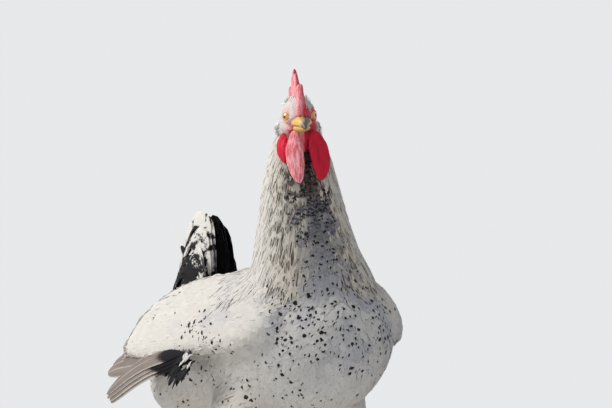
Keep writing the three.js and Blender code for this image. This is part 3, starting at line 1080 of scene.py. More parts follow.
@dataclass
class Plumes:
    """Feathers of one kind that lie ready to be cut: their routes, widths, colours and marks."""

    cut: Cut
    route: Rows
    normal: Rows
    lie: Rows
    width: Rows
    tint: Rows
    mark: Rows
    patch: Rows
    patch_size: float = 0.003

    def mesh(self, name: str, random: np.random.Generator) -> bpy.types.Mesh:
        """Cuts every feather and joins them into one mesh.

        Args:
            name: The mesh's name.
            random: The seeded source of chance.

        Returns:
            A mesh with the maps Vane and OFBake and the attributes Tint, Mark and Lie.
        """
        shape = self.cut.value
        kinds = random.integers(shape.variants, size=len(self.route))
        rows = {title: [] for title in ("place", "face", "OFBake", "Vane", "Tint", "Mark", "Lie")}
        start = 0
        for kind in range(shape.variants):
            template = Template.cut(shape, random)
            pick = np.flatnonzero(kinds == kind)
            many, each = len(pick), len(template.across)
            flat = np.stack([template.across * 0.5 + 0.5, template.along], 1)
            steps = np.rint(template.along * (self.lie.shape[1] - 1)).astype(int)
            rows["place"].append(self.vertices(template, pick))
            rows["face"].append(template.faces + start + each * np.arange(many)[:, None, None])
            rows["OFBake"].append(self.patch[pick][:, None] + flat * self.patch_size)
            rows["Vane"].append(np.tile(flat, (many, 1, 1)))
            rows["Tint"].append(np.repeat(self.tint[pick][:, None], each, 1))
            rows["Mark"].append(np.repeat(self.mark[pick][:, None], each, 1))
            rows["Lie"].append(self.lie[pick][:, steps] * 0.5 + 0.5)
            start += many * each
        for title, parts in rows.items():
            rows[title] = np.concatenate([part.reshape(-1, part.shape[-1]) for part in parts])
        places, faces = rows["place"], rows["face"]
        mesh = bpy.data.meshes.new(name)
        mesh.vertices.add(len(places))
        mesh.loops.add(faces.size)
        mesh.polygons.add(len(faces))
        mesh.loops.foreach_set("vertex_index", faces.ravel().astype(np.int32))
        mesh.polygons.foreach_set("loop_start", np.arange(0, faces.size, 4, dtype=np.int32))
        mesh.update(calc_edges=True)
        move_to(mesh, places)
        for title in ("OFBake", "Vane"):
            values = rows[title][faces.ravel()].astype(np.float32)
            mesh.uv_layers.new(name=title).data.foreach_set("uv", values.ravel())
        for title in ("Tint", "Mark", "Lie"):
            paint(mesh, title, rows[title])
        return mesh

    def vertices(self, template: Template, pick: Rows) -> Rows:
        """Lays one template along each of the picked routes.

        Args:
            template: The cut vane.
            pick: The numbers of the feathers.

        Returns:
            The vertices, by feather and by vertex of the template.
        """
        route, normal = self.route[pick], self.normal[pick]
        tangent = unit(np.gradient(route, axis=1))
        side = unit(np.cross(tangent, normal))
        up = np.cross(side, tangent)
        place = template.along * (route.shape[1] - 1)
        low = np.minimum(place.astype(int), route.shape[1] - 2)
        share = (place - low)[None, :, None]

        def at(rows: Rows) -> Rows:
            """Reads rows along the routes at the template's vertices."""
            return rows[:, low] * (1.0 - share) + rows[:, low + 1] * share

        half = self.width[pick][:, None, None] / 2.0
        out = (template.across * template.spread)[None, :, None]
        bow = (1.0 - template.across**2) * template.spread * self.cut.value.bow * 2.0
        return at(route) + at(side) * half * out + at(up) * half * bow[None, :, None]


def vane_marks(shader: Shader) -> tuple[Wire, Wire, Wire, Wire, Wire]:
    """Reads where on its vane a point lies and gives the barbs there.

    Args:
        shader: The material.

    Returns:
        The distance from the shaft and along it, from 0 to 1, the barbs, a fine grain about 0, and a
        number from -1 to 1 that is different on each feather.
    """
    vane = shader.add("UVMap", {"uv_map": "Vane"})
    across, along = shader.parts(vane, "XYZ", "XY")
    bake = shader.add("UVMap", {"uv_map": "OFBake"})
    lot = shader.vector("DOT_PRODUCT", {0: bake, 1: (130.0, 170.0, 0.0)}, "Value")
    place = shader.add("CombineXYZ", None, {0: across * 7.0, 1: along * 1.5 + across * 0.8, 2: lot})
    barb = shader.add("TexNoise", None, {"Vector": place, "Scale": 1.6, "Detail": 3.0})
    across = abs(across * 2.0 - 1.0)
    return across, along, barb.between(0.30, 0.70), shader.noise(520.0, 2.0) - 0.5, (lot * 1.3).sine()


def soft_normal(shader: Shader, height: Wire, softness: float) -> Wire:
    """Bends a vane's normal towards that of the whole coat, so that its edge doesn't look hard.

    Args:
        shader: The material.
        height: The relief of the vane.
        softness: The share of the coat's normal.

    Returns:
        The normal.
    """
    lie = shader.attribute("Lie", "Color")
    lie = shader.vector("MULTIPLY_ADD", {0: lie, 1: (2.0,) * 3, 2: (-1.0,) * 3})
    own = shader.add("NewGeometry", output="Normal")
    facing = shader.vector("DOT_PRODUCT", {0: own, 1: lie}, "Value")
    share = facing.between(-0.33, 0.33) * 2.0 - 1.0
    lie = shader.vector("SCALE", {0: lie, "Scale": share})
    normal = shader.add("Mix", {"data_type": "VECTOR"}, {0: softness, 4: own, 5: lie}, 1)
    normal = shader.vector("NORMALIZE", {0: normal})
    relief = {"Height": height, "Distance": 0.22 * MM, "Strength": 0.6, "Normal": normal}
    return shader.add("Bump", None, relief)


@dataclass(frozen=True)
class PlumageFinish:
    """White and cream vanes with dark tips, streaks, bars and marbling, in fine slanting barbs, with painted
    shade in the barb hollows and at the foot of each vane.
    """

    name: str = "plumage"
    dark: tuple = SOOT
    brown: tuple = UMBER
    softness: float = 0.93
    sheer: float = 0.14
    # Lilac grey of the painted shade in the barb hollows and at the foot of each vane.
    shade: tuple = (0.55, 0.54, 0.58)

    def material(self) -> Finish:
        """Builds the material.

        Returns:
            The material of the small feathers.
        """
        shader = Shader(self.name)
        across, along, barb, grain, lot = vane_marks(shader)
        mark = shader.attribute("Mark", "Color")
        fleck, streak, bars = shader.parts(mark, "Color", range(3))
        marble = shader.attribute("Mark", "Alpha")
        spot = ((along - 0.84) / 0.10) ** 2.0 + (across / (lot * 0.22 + 0.44)) ** 2.0 + grain * 3.2
        spot = (spot - fleck).between(0.45, -0.10) * fleck.between(0.05, 0.30)
        line = (across - along * 0.22 - streak * 0.25 + grain * 0.5).between(0.34, 0.02)
        line = line * along.between(0.25, 0.60) * along.between(1.02, 0.92)
        dashes = shader.noise(150.0, 2.0, (1.0, 1.0, 0.55)).between(0.45, 0.55)
        line = line * dashes * streak.between(0.15, 0.65)
        wave = ((along * 3.0 - across * 0.35 + grain * 0.5) * (2.0 * math.pi)).sine()
        wave = wave.between(-0.05, 0.40) * bars * along.between(0.30, 0.45)
        veins = shader.noise(110.0, 4.0) + grain * 0.2 + along.between(0.6, 1.0) * 0.06 + (marble - 1.0)
        veins = veins.between(-0.06, 0.05) * marble.between(0.0, 0.1)
        tint = shader.attribute("Tint", "Color")
        # Painted shade: the barb hollows and the foot of each vane, where the vanes above cover it, darken
        # towards lilac grey.
        shade = shader.mix(barb * 0.24 + along.between(0.50, 0.0) * 0.08, (1.0, 1.0, 1.0), self.shade)
        colour = shader.mix(1.0, tint, shade, "MULTIPLY")
        colour = shader.mix(line * 0.9, colour, shader.mix(grain.between(-0.2, 0.2), self.brown, self.dark))
        black = spot.larger(wave).larger(veins)
        colour = shader.mix(black, colour, self.dark)
        height = barb * 0.5 + across.between(0.10, 0.0) * 0.5
        material = shader.done(
            Base_Color=colour,
            Roughness=0.75,
            Normal=soft_normal(shader, height, self.softness),
            Specular_IOR_Level=0.15,
        )
        sheer = shader.add("BsdfTranslucent", None, {"Color": WHITE})
        shader.cover((1.0 - black.larger(line)) * self.sheer, sheer)
        return material


@dataclass(frozen=True)
class FlightFinish:
    """Stiff grey-brown vanes with pale shafts and margins and a black foot."""

    cloud: tuple = (0.16, 0.135, 0.13)
    margin: tuple = (0.62, 0.58, 0.55)
    shaft: tuple = (0.60, 0.56, 0.50)

    def material(self) -> Finish:
        """Builds the material.

        Returns:
            The material of the flight feathers.
        """
        shader = Shader("flight")
        across, along, barb, grain, _ = vane_marks(shader)
        mark = shader.attribute("Mark", "Color")
        foot, margin = shader.parts(mark, "Color", range(2))
        tint = shader.attribute("Tint", "Color")
        cloud = shader.noise(90.0, 3.0, (1.0, 0.35, 1.0)).between(0.35, 0.70)
        colour = shader.mix(cloud * 0.35 + barb * 0.12, tint, self.cloud)
        colour = shader.mix((across + grain * 0.2).between(0.74, 0.95) * margin, colour, self.margin)
        black = (along + grain * 0.10 + across * 0.10 - foot).between(0.05, -0.04)
        colour = shader.mix(black, colour, SOOT)
        shaft = across.between(0.075, 0.045)
        colour = shader.mix(shaft * 0.55 * along.between(0.2, 0.7), colour, self.shaft)
        height = barb * 0.35 + shaft * 0.65
        return shader.done(
            Base_Color=colour,
            Roughness=0.58,
            Normal=soft_normal(shader, height, 0.25),
            Specular_IOR_Level=0.06,
        )


@dataclass
class Tract:
    """A field of feathers and how they grow there."""

    name: str
    cut: Cut
    spacing: float
    length: Callable[[Rows], Rows]
    width: float
    depth: float
    lie: Callable[[Rows], Rows]
    slot: str = "plumage"
    lift: float = 0.0
    stray: float = 0.12
    steps: int = 6


class Coat:
    """Feathers that grow over a ground in tracts."""

    LEAVES = 0.55  # the cosine of the turn at which a feather leaves the ground
    FOLLOWS = 0.3  # how much a feather follows the lie of its neighbours at each step
    VARIES = 0.12  # how much lengths and widths vary
    ROLLS = 0.09  # how much feathers roll about their shafts

    def __init__(self, ground: Ground, pool: int) -> None:
        """Scatters the places where feathers may take root.

        Args:
            ground: The surface that they grow on.
            pool: How many places there are to choose from.
        """
        self.ground = ground
        self.random = np.random.default_rng(SEED)
        owners = ground.owners(ground.places)
        areas = ground.areas()
        pick = self.random.choice(len(areas), pool, p=areas / areas.sum())
        share = self.random.dirichlet((1.0, 1.0, 1.0), pool)
        corners = ground.corners[pick]
        self.places = (ground.places[corners] * share[..., None]).sum(1)
        self.normals = unit((ground.normals[corners] * share[..., None]).sum(1))
        self.owners = owners[corners[np.arange(pool), share.argmax(1)]]

    def thinned(self, where: Rows, spacing: float) -> Rows:
        """Keeps places that lie at least a spacing apart.

        Args:
            where: True for the places of the tract.
            spacing: The least distance between two roots.

        Returns:
            The numbers of the places kept.
        """
        cells: dict[tuple[int, int, int], list[tuple[float, float, float]]] = {}
        kept = []
        near = [(i, j, k) for i in (-1, 0, 1) for j in (-1, 0, 1) for k in (-1, 0, 1)]
        pick = np.flatnonzero(where)
        keys = np.floor(self.places[pick] / spacing).astype(int).tolist()
        for number, (a, b, c), (x, y, z) in zip(pick.tolist(), keys, self.places[pick].tolist()):
            crowd = (root for i, j, k in near for root in cells.get((a + i, b + j, c + k), ()))
            if any((x - u) ** 2 + (y - v) ** 2 + (z - w) ** 2 < spacing**2 for u, v, w in crowd):
                continue
            cells.setdefault((a, b, c), []).append((x, y, z))
            kept.append(number)
        return np.array(kept, int)

    def routes(self, tract: Tract, roots: Rows, lengths: Rows) -> Pair:
        """Walks every feather over the ground along its lie.

        Args:
            tract: The tract they grow in.
            roots: The numbers of the places where they root.
            lengths: The length of each.

        Returns:
            The places along each feather, and the normals of the ground there.
        """
        place, normal = self.places[roots], self.normals[roots]
        stray = self.random.normal(size=place.shape) * tract.stray
        way = unit(self.flat(unit(tract.lie(place)) + stray, normal))
        route, normals = [place], [normal]
        for _ in range(tract.steps):
            ahead = place + way * (lengths / tract.steps)[:, None]
            found, facing = self.ground.nearest(ahead)
            leaves = ((facing * normal).sum(1) < self.LEAVES)[:, None]
            found, facing = np.where(leaves, ahead, found), np.where(leaves, normal, facing)
            new = unit(tract.lie(found)) + stray
            way = unit(self.flat(way * (1.0 - self.FOLLOWS) + new * self.FOLLOWS, facing))
            place, normal = found, facing
            route.append(place)
            normals.append(normal)
        route, normals = np.stack(route, 1), unit(np.stack(normals, 1))
        along = np.linspace(0.0, 1.0, tract.steps + 1)
        rise = -tract.depth * (1.0 - along) ** 1.15 + tract.lift * along**2
        spare = self.random.uniform(-0.3, 0.3, len(roots))[:, None] * MM
        scatter = 1.0 + 0.15 * self.random.normal(size=(len(roots), 1))
        return route + normals * (rise * np.abs(scatter) + spare)[..., None], normals

    @staticmethod
    def flat(ways: Rows, normals: Rows) -> Rows:
        """Presses directions flat onto the ground."""
        return ways - normals * (ways * normals).sum(1)[:, None]

    def grow(self, tract: Tract, where: Rows, dress: Callable, unwrap: Callable) -> Plumes:
        """Grows one tract.

        Args:
            tract: What grows.
            where: True for each place of the pool that belongs to it.
            dress: Gives the tint and the marks at the roots.
            unwrap: Gives two numbers for each root that spread the skin out flat.

        Returns:
            The feathers.
        """
        roots = self.thinned(where, tract.spacing)
        place = self.places[roots]
        vary = 1.0 + self.VARIES * self.random.normal(size=len(roots))
        lengths = tract.length(place) * vary
        route, normal = self.routes(tract, roots, lengths)
        roll = self.ROLLS * self.random.normal(size=(len(roots), 1, 1))
        side = unit(np.cross(np.gradient(route, axis=1), normal))
        tint, mark = dress(place, roots)
        flat = unwrap(place)
        low, high = flat.min(0), flat.max(0)
        patch = 0.004 + 0.99 * (flat - low) / (high - low)
        width = tract.width * vary
        return Plumes(tract.cut, route, unit(normal + side * roll), normal, width, tint, mark, patch)


@dataclass
class Plumage:
    """The whole coat of small feathers, tract by tract."""

    coat: Coat
    marks: Markings
    finish: Finish

    def flecks(self, place: Rows, chance: Rows, size: Rows | float) -> Rows:
        """Gives some feathers a dark tip.

        Args:
            place: The roots.
            chance: How likely each is to have one.
            size: The mean size of the tips, up to 1.

        Returns:
            Marks: tip, streak, bars and marbling for each feather.
        """
        mark = np.zeros((len(place), 4))
        lucky = self.coat.random.random(len(place)) < chance
        mark[:, 0] = lucky * np.clip(size * self.coat.random.lognormal(-0.15, 0.45, len(place)), 0.22, 1.0)
        return mark

    def plain(self, place: Rows, roots: Rows) -> Rows:
        """Gives the base colour of each root with a little variety."""
        base = self.marks.base(place, self.coat.owners[roots])
        return base * (1.0 + 0.025 * self.coat.random.normal(size=(len(place), 1)))

    def body(self, place: Rows, roots: Rows) -> Pair:
        """Dresses breast, back, sides and belly: white with black flecks, thickest under the throat, and
        cream low on the belly, partly its own tone and partly painted bounce light.

        Args:
            place: The roots.
            roots: Their numbers.

        Returns:
            Tints and marks.
        """
        low, high = self.marks.low[2], self.marks.high[2]
        _, y, z = place.T
        high_up = step(high - 105 * MM, high - 50 * MM, z)
        ahead = step(-60 * MM, -110 * MM, y)
        middle = step(80.0, 25.0, np.abs(self.marks.throat_angle(place)))
        crowded = high_up * ahead * middle
        chance = 0.05 + 0.85 * crowded * (0.4 + 0.6 * step(0.35, 0.6, patchy(place, 14 * MM, 23)))
        chance += 0.30 * step(0.66, 0.85, patchy(place, 30 * MM, 8))
        chance *= 1.0 - 0.8 * step(-40 * MM, 20 * MM, y) * step(260 * MM, 310 * MM, z)
        tint = self.plain(place, roots)
        # Cream low on the belly: partly the plumage's own tone, partly painted yellowish light bounced up
        # from the floor.
        cream_and_bounce = 0.60 * step(low + 75 * MM, low + 25 * MM, z) * patchy(place, 30 * MM, 9)
        tint = tint * (1.0 - cream_and_bounce[:, None]) + np.array(CREAM) * cream_and_bounce[:, None]
        return tint, self.flecks(place, chance, 0.65 + 0.15 * crowded)

    def hackle(self, place: Rows, roots: Rows) -> Pair:
        """Dresses the hackle: cream, streaked with brown, thickest low down and beside the throat.

        Args:
            place: The roots.
            roots: Their numbers.

        Returns:
            Tints and marks.
        """
        rise = self.marks.rise(place)
        angle = np.abs(self.marks.throat_angle(place))
        streak = step(0.45, 0.10, rise) * step(100.0, 65.0, angle) * 0.45 + step(78.0, 35.0, angle) * 1.1
        streak *= 0.20 + 0.80 * self.coat.random.random(len(place)) + 0.3 * patchy(place, 18 * MM, 6)
        mark = self.flecks(place, 0.50 * step(0.42, 0.22, rise), 0.6)
        mark[:, 1] = np.clip(streak, 0.0, 1.0)
        return self.plain(place, roots), mark

    def throat(self, place: Rows, roots: Rows) -> Pair:
        """Dresses the throat: brown-black under the wattles, then grey barred with black.

        Args:
            place: The roots.
            roots: Their numbers.

        Returns:
            Tints and marks.
        """
        rise = self.marks.rise(place)
        clump = step(0.35, 0.65, patchy(place * (1.0, 1.0, 2.2), 9 * MM, 22))
        mark = self.flecks(place, 0.10 + (0.45 + 0.35 * step(0.2, 0.5, rise)) * clump, 0.95)
        mark[:, 2] = (0.25 + 0.60 * step(0.35, 0.60, rise)) * (self.coat.random.random(len(place)) < 0.6)
        tint = self.plain(place, roots)
        dark = 0.80 * step(0.50, 0.72, rise)[:, None]
        return tint * (1.0 - dark) + np.array(UMBER) * dark, mark

    def wing(self, place: Rows, roots: Rows) -> Pair:
        """Dresses the wing coverts: nearly clean white, with a few clusters of flecks and patches of painted
        lilac shade toward the front.

        Args:
            place: The roots.
            roots: Their numbers.

        Returns:
            Tints and marks.
        """
        low, high = box("wing_right")
        ahead = (place[:, 1] - low[1]) / (high[1] - low[1])
        edge = np.exp(-(((ahead - 0.25) / 0.09) ** 2) - ((place[:, 2] - low[2] - 27 * MM) / (9 * MM)) ** 2)
        chance = 0.015 + 0.8 * edge + 0.35 * step(0.80, 0.92, patchy(place, 24 * MM, 12))
        # Painted shade: patches of lilac grey toward the front of the wing.
        pale = 0.45 * step(0.65, 0.20, ahead) * patchy(place, 26 * MM, 13)
        tint = self.plain(place, roots) * (1.0 - pale[:, None]) + np.array(SKY_SHADE_LILAC) * pale[:, None]
        return tint, self.flecks(place, chance, 0.6 + 0.35 * edge)

    def face(self, place: Rows, roots: Rows) -> Pair:
        """Dresses the face: white."""
        tint = np.tile(WHITE, (len(place), 1)) * (1.0 + 0.04 * self.coat.random.normal(size=(len(place), 1)))
        return tint, np.zeros((len(place), 4))

    def bright_tuft(self, place: Rows, roots: Rows) -> Pair:
        """Dresses the loose tufts of the head: whiter than the rest of the plumage, painted light that stands
        in for light shining through them.
        """
        return np.full((len(place), 3), 0.94), np.zeros((len(place), 4))

    def fields(self) -> dict[str, Rows]:
        """Parts the pool of places into tracts.

        Returns:
            By the name of each tract, True for its places.
        """
        place, normal, owner = self.coat.places, self.coat.normals, self.coat.owners
        x, y, z = place.T
        low, high = self.marks.low, self.marks.high
        along = (y - low[1]) / (high[1] - low[1])
        angle, rise = np.abs(self.marks.throat_angle(place)), self.marks.rise(place)
        nape = step(70.0, 120.0, angle)
        neck = (owner == "neck") & (rise > 0.24 - 0.20 * nape)
        trunk = (owner == "trunk") | (owner == "neck") & ~neck
        wing = np.char.startswith(owner, "wing") & (normal[:, 0] * np.sign(x) > -0.1)
        wing &= y < box("wing_right")[1][1] - 16 * MM
        thigh = np.char.startswith(owner, "thigh") & (z > box("thigh_left")[0][2] + 6 * MM)
        throat = neck & (self.marks.throat(place) > 0.5)
        breast = trunk & (along < 0.30)
        rump = trunk & (along > 0.86)
        back = trunk & ~breast & ~rump & (normal[:, 2] > 0.25)
        middle = self.marks.neck_line[0, 0] * z + self.marks.neck_line[1, 0]
        return {
            "coat_throat": throat,
            "coat_hackle_right": neck & ~throat & (x < middle),
            "coat_hackle_left": neck & ~throat & (x >= middle),
            "coat_breast": breast,
            "coat_back": back,
            "coat_belly": trunk & ~breast & ~rump & ~back,
            "coat_rump": rump,
            "coat_thighs": thigh,
            "coat_wing_left": wing & (x > 0.0),
            "coat_wing_right": wing & (x < 0.0),
        }

    def tracts(self) -> list[tuple[Tract, Callable, Callable]]:
        """Plans every tract of the body.

        Returns:
            For each tract its feathers, how they are coloured and how their ground unrolls.
        """
        marks = self.marks
        low, high = marks.low, marks.high
        length = high[1] - low[1]

        def grown(first: float, last: float) -> Callable[[Rows], Rows]:
            """Lets feathers grow longer from the breast to the rear, in millimetres."""
            return lambda p: (first + (last - first) * np.clip((p[:, 1] - low[1]) / length, 0.0, 1.0)) * MM

        def lies(x: float, y: float, z: float) -> Callable[[Rows], Rows]:
            """Points feathers along one way, mirrored across the bird."""
            return lambda p: (x, y, z) * np.clip(p[:, :1] / (30 * MM), -1, 1) ** (1, 0, 0)

        def hackle_lie(p: Rows) -> Rows:
            """Points the hackle down and, low on the neck, back over the shoulders."""
            low_down = 1.0 - np.clip(marks.rise(p), 0.0, 1.0)
            return np.stack([np.full(len(p), 0.10), 0.12 + 0.40 * low_down, np.full(len(p), -1.0)], 1)

        def hackle_length(p: Rows) -> Rows:
            """Gives the length of hackle feathers, longest low on the nape."""
            nape = step(70.0, 120.0, np.abs(marks.throat_angle(p)))
            return (20 + (22 + 14 * nape) * step(0.95, 0.35, marks.rise(p))) * MM

        def round_trunk(p: Rows) -> Rows:
            """Unrolls the trunk round its length."""
            return np.stack([np.arctan2(p[:, 0], p[:, 2] - (low[2] + high[2]) / 2), p[:, 1]], 1)

        def round_neck(p: Rows) -> Rows:
            """Unrolls the neck round its height."""
            return np.stack([marks.throat_angle(p), p[:, 2]], 1)

        def round_wing(p: Rows) -> Rows:
            """Unrolls a wing round its length."""
            out, up = np.abs(p[:, 0]), p[:, 2]
            return np.stack([np.arctan2(out - out.mean() + 20 * MM, up - up.mean()), p[:, 1]], 1)

        def plan(name: str, cut: Cut, sizes: Sequence, length: Callable, lie: Callable, **more) -> Tract:
            """Plans one tract from its spacing, width, depth and lift in millimetres."""
            spacing, width, depth, lift = (size * MM for size in sizes)
            return Tract(f"coat_{name}", cut, spacing, length, width, depth, lie, lift=lift, **more)

        hackle = partial(plan, cut=Cut.LANCE, sizes=(2.9, 5.0, 1.7, 0.5), length=hackle_length)
        hackle = partial(hackle, lie=hackle_lie, slot="hackle", stray=0.06)
        covert = partial(plan, cut=Cut.ROUND, sizes=(4.1, 11.0, 1.6, 0.0), length=grown(14, 28))
        covert = partial(covert, lie=lies(0.05, 1.0, -0.22), stray=0.07)
        throat = plan("throat", Cut.ROUND, (2.5, 8.5, 1.8, 0.8), grown(14, 14), hackle_lie)
        body = self.body, round_trunk
        return [
            (throat, self.throat, round_neck),
            (hackle("hackle_right"), self.hackle, round_neck),
            (hackle("hackle_left"), self.hackle, round_neck),
            (plan("breast", Cut.ROUND, (3.8, 10.0, 1.7, 0.0), grown(20, 20), lies(0.25, 0.7, -1.0)), *body),
            (plan("back", Cut.ROUND, (4.2, 12.0, 1.8, 0.0), grown(20, 44), lies(0.2, 1.0, -0.25)), *body),
            (plan("belly", Cut.DOWN, (4.4, 13.0, 2.2, 1.0), grown(28, 28), lies(0.0, 1.0, -0.55)), *body),
            (plan("rump", Cut.DOWN, (4.4, 13.0, 2.2, 1.5), grown(32, 32), lies(0.1, 0.9, -0.8)), *body),
            (plan("thighs", Cut.DOWN, (4.0, 10.0, 2.0, 1.0), grown(20, 20), lies(0.0, 0.35, -1.0)), *body),
            (covert("wing_left"), self.wing, round_wing),
            (covert("wing_right"), self.wing, round_wing),
        ]

    def build(self) -> None:
        """Grows every tract of the body."""
        fields = self.fields()
        for tract, dress, unwrap in self.tracts():
            plumes = self.coat.grow(tract, fields[tract.name], dress, unwrap)
            done(link(tract.name, plumes.mesh(tract.name, self.coat.random)), self.finish, tract.slot)


@dataclass
class FaceCoat:
    """The short feathers of the face, which thin out round the eyes and the bill, and loose tufts."""

    head: HeadFrame
    plumage: Plumage
    pool: int = 60000
    bill: tuple = (0.0, -40.0, -8.0)
    crown: tuple = (12.5, 6.0, 14.0)
    crown_reach: float = 5.5
    crown_length: float = 12.5 * MM
    cheek: tuple = (21.0, 5.0, -10.0)
    cheek_reach: float = 6.5
    cheek_length: float = 9 * MM

    def lie(self, places: Rows) -> Rows:
        """Points the feathers away from the bill.

        Args:
            places: Rows of x, y and z.

        Returns:
            Directions.
        """
        local = self.head.inward(places) / MM
        away = unit(local - np.array(self.bill))
        away[:, 2] += 0.35 * step(4.0, 12.0, local[:, 2]) - 0.3 * step(0.0, -10.0, local[:, 2])
        return self.head.turned(away)

    def length(self, places: Rows) -> Rows:
        """Gives the length of each feather, from stubble at the bill to longer ones at the nape."""
        local = self.head.inward(places) / MM
        return (2.2 + 6.5 * step(-16.0, 8.0, local[:, 1])) * MM

    def tuft_lie(self, places: Rows) -> Rows:
        """Points the tufts of the crown up and those of the cheeks out and back.

        Args:
            places: Rows of x, y and z.

        Returns:
            Directions.
        """
        local = self.head.inward(places)
        up = (local[:, 2] > 0.0).astype(float)
        out = np.sign(local[:, 0]) * (0.25 + 0.6 * (1.0 - up))
        return self.head.turned(np.stack([out, 0.5 - 0.3 * up, 1.2 * up - 0.15], 1))

    def tuft_length(self, places: Rows) -> Rows:
        """Gives the length of the tufts on crown and cheeks."""
        return np.where(self.head.inward(places)[:, 2] > 0.0, self.crown_length, self.cheek_length)

    def round_head(self, places: Rows) -> Rows:
        """Unrolls the head round its length."""
        local = self.head.inward(places)
        return np.stack([np.arctan2(local[:, 0], local[:, 2] + 4 * MM), local[:, 1]], 1)

    def build(self, face: Ground) -> None:
        """Grows the feathers.

        Args:
            face: The bare head.
        """
        coat = Coat(face, self.pool)
        local = self.head.inward(coat.places) / MM
        across, back, up = local.T
        left = step(0.0, 6.0, across)
        below = step(-6.0 + 3.0 * left, -10.0 + 4.0 * left, up)
        chance = step(8.2, 11.0, self.head.from_eye(local))
        chance *= step(-27.0 + 2.0 * left, -19.0 + 3.0 * left, back)
        chance *= 1.0 - below * step(2.0 + 5.0 * left, -8.0 + 5.0 * left, back)
        chance *= 1.0 - step(-2.0, -5.0, up) * step(-10.0, -15.0, back)
        head = coat.owners == "head"
        short = head & (coat.random.random(len(local)) < chance)
        folded = self.head.folded(local)
        crown = np.linalg.norm(folded - self.crown, axis=1) < self.crown_reach
        cheek = np.linalg.norm(folded - self.cheek, axis=1) < self.cheek_reach
        stubble = Tract("coat_face", Cut.TUFT, 1.25 * MM, self.length, 2.0 * MM, 0.4 * MM, self.lie)
        tufts = Tract("coat_tufts", Cut.TUFT, 1.05 * MM, self.tuft_length, 3.2 * MM, 0.4 * MM, self.tuft_lie)
        stubble.lift, tufts.lift = 1.0 * MM, 4.5 * MM
        fluff = PlumageFinish("fluff", softness=0.1, sheer=0.8).material()
        plans = (
            (stubble, short, self.plumage.face, self.plumage.finish),
            (tufts, head & (crown | cheek), self.plumage.bright_tuft, fluff),
        )
        for tract, where, dress, finish in plans:
            tract.stray, tract.steps = 0.25, 3
            plumes = coat.grow(tract, where, dress, self.round_head)
            done(link(tract.name, plumes.mesh(tract.name, coat.random)), finish, tract.slot)


# ---- Wing quills and tail ----


def bent(points: Sequence[Sequence[float]], steps: int) -> Rows:
    """Draws a smooth curve through a few points.

    Args:
        points: The points, at even shares of the curve.
        steps: How many stretches the curve has.

    Returns:
        Its places.
    """
    points = np.asarray(points, float)
    if len(points) == 3:
        share = np.linspace(0.0, 1.0, steps + 1)[:, None]
        first, middle, last = points
        ends = first * (1 - share) * (1 - 2 * share) + last * share * (2 * share - 1)
        return ends + middle * 4 * share * (1 - share)
    ends = np.concatenate([2 * points[:1] - points[1:2], points, 2 * points[-1:] - points[-2:-1]])
    place = np.linspace(0.0, len(points) - 1.0, steps + 1)
    low = np.minimum(place.astype(int), len(points) - 2)
    t = (place - low)[:, None]
    a, b, c, d = (ends[low + i] for i in range(4))
    return 0.5 * (2 * b + (c - a) * t + (2 * a - 5 * b + 4 * c - d) * t**2 + (3 * b - a - 3 * c + d) * t**3)


@dataclass
class Sheaf:
    """Large feathers gathered one by one."""

    cut: Cut
    steps: int = 24
    feathers: list = field(default_factory=list)

    def add(self, points: Sequence, facing: Sequence, width: float, tint: Sequence, mark: Sequence) -> None:
        """Adds one feather.

        Args:
            points: A few points of its shaft, from the root.
            facing: The way its outer face looks, once or at each point.
            width: Its full width.
            tint: Its colour.
            mark: Its four marks.
        """
        facing = np.asarray(facing, float)
        normals = np.tile(facing, (self.steps + 1, 1)) if facing.ndim == 1 else bent(facing, self.steps)
        self.feathers.append((bent(points, self.steps), normals, width, tint, mark))

    def mesh(self, name: str, random: np.random.Generator) -> bpy.types.Mesh:
        """Cuts the feathers, each with a square of its own on the bake map.

        Args:
            name: The mesh's name.
            random: The seeded source of chance.

        Returns:
            The mesh.
        """
        many = len(self.feathers)
        across = math.ceil(math.sqrt(many))
        patch = (np.array([divmod(number, across) for number in range(many)]) + 0.05) / across
        routes, normals, widths, tints, marks = (np.array(rows) for rows in zip(*self.feathers))
        normals = unit(normals)
        plumes = Plumes(self.cut, routes, normals, normals, widths, tints, marks, patch, 0.9 / across)
        return plumes.mesh(name, random)


@dataclass(frozen=True)
class Fan:
    """A row of flight feathers in the box of its solid: each end is a corner and millimetres from it."""

    node: str
    count: int
    arch: float
    width: float
    foot: float
    roots: tuple
    tips: tuple


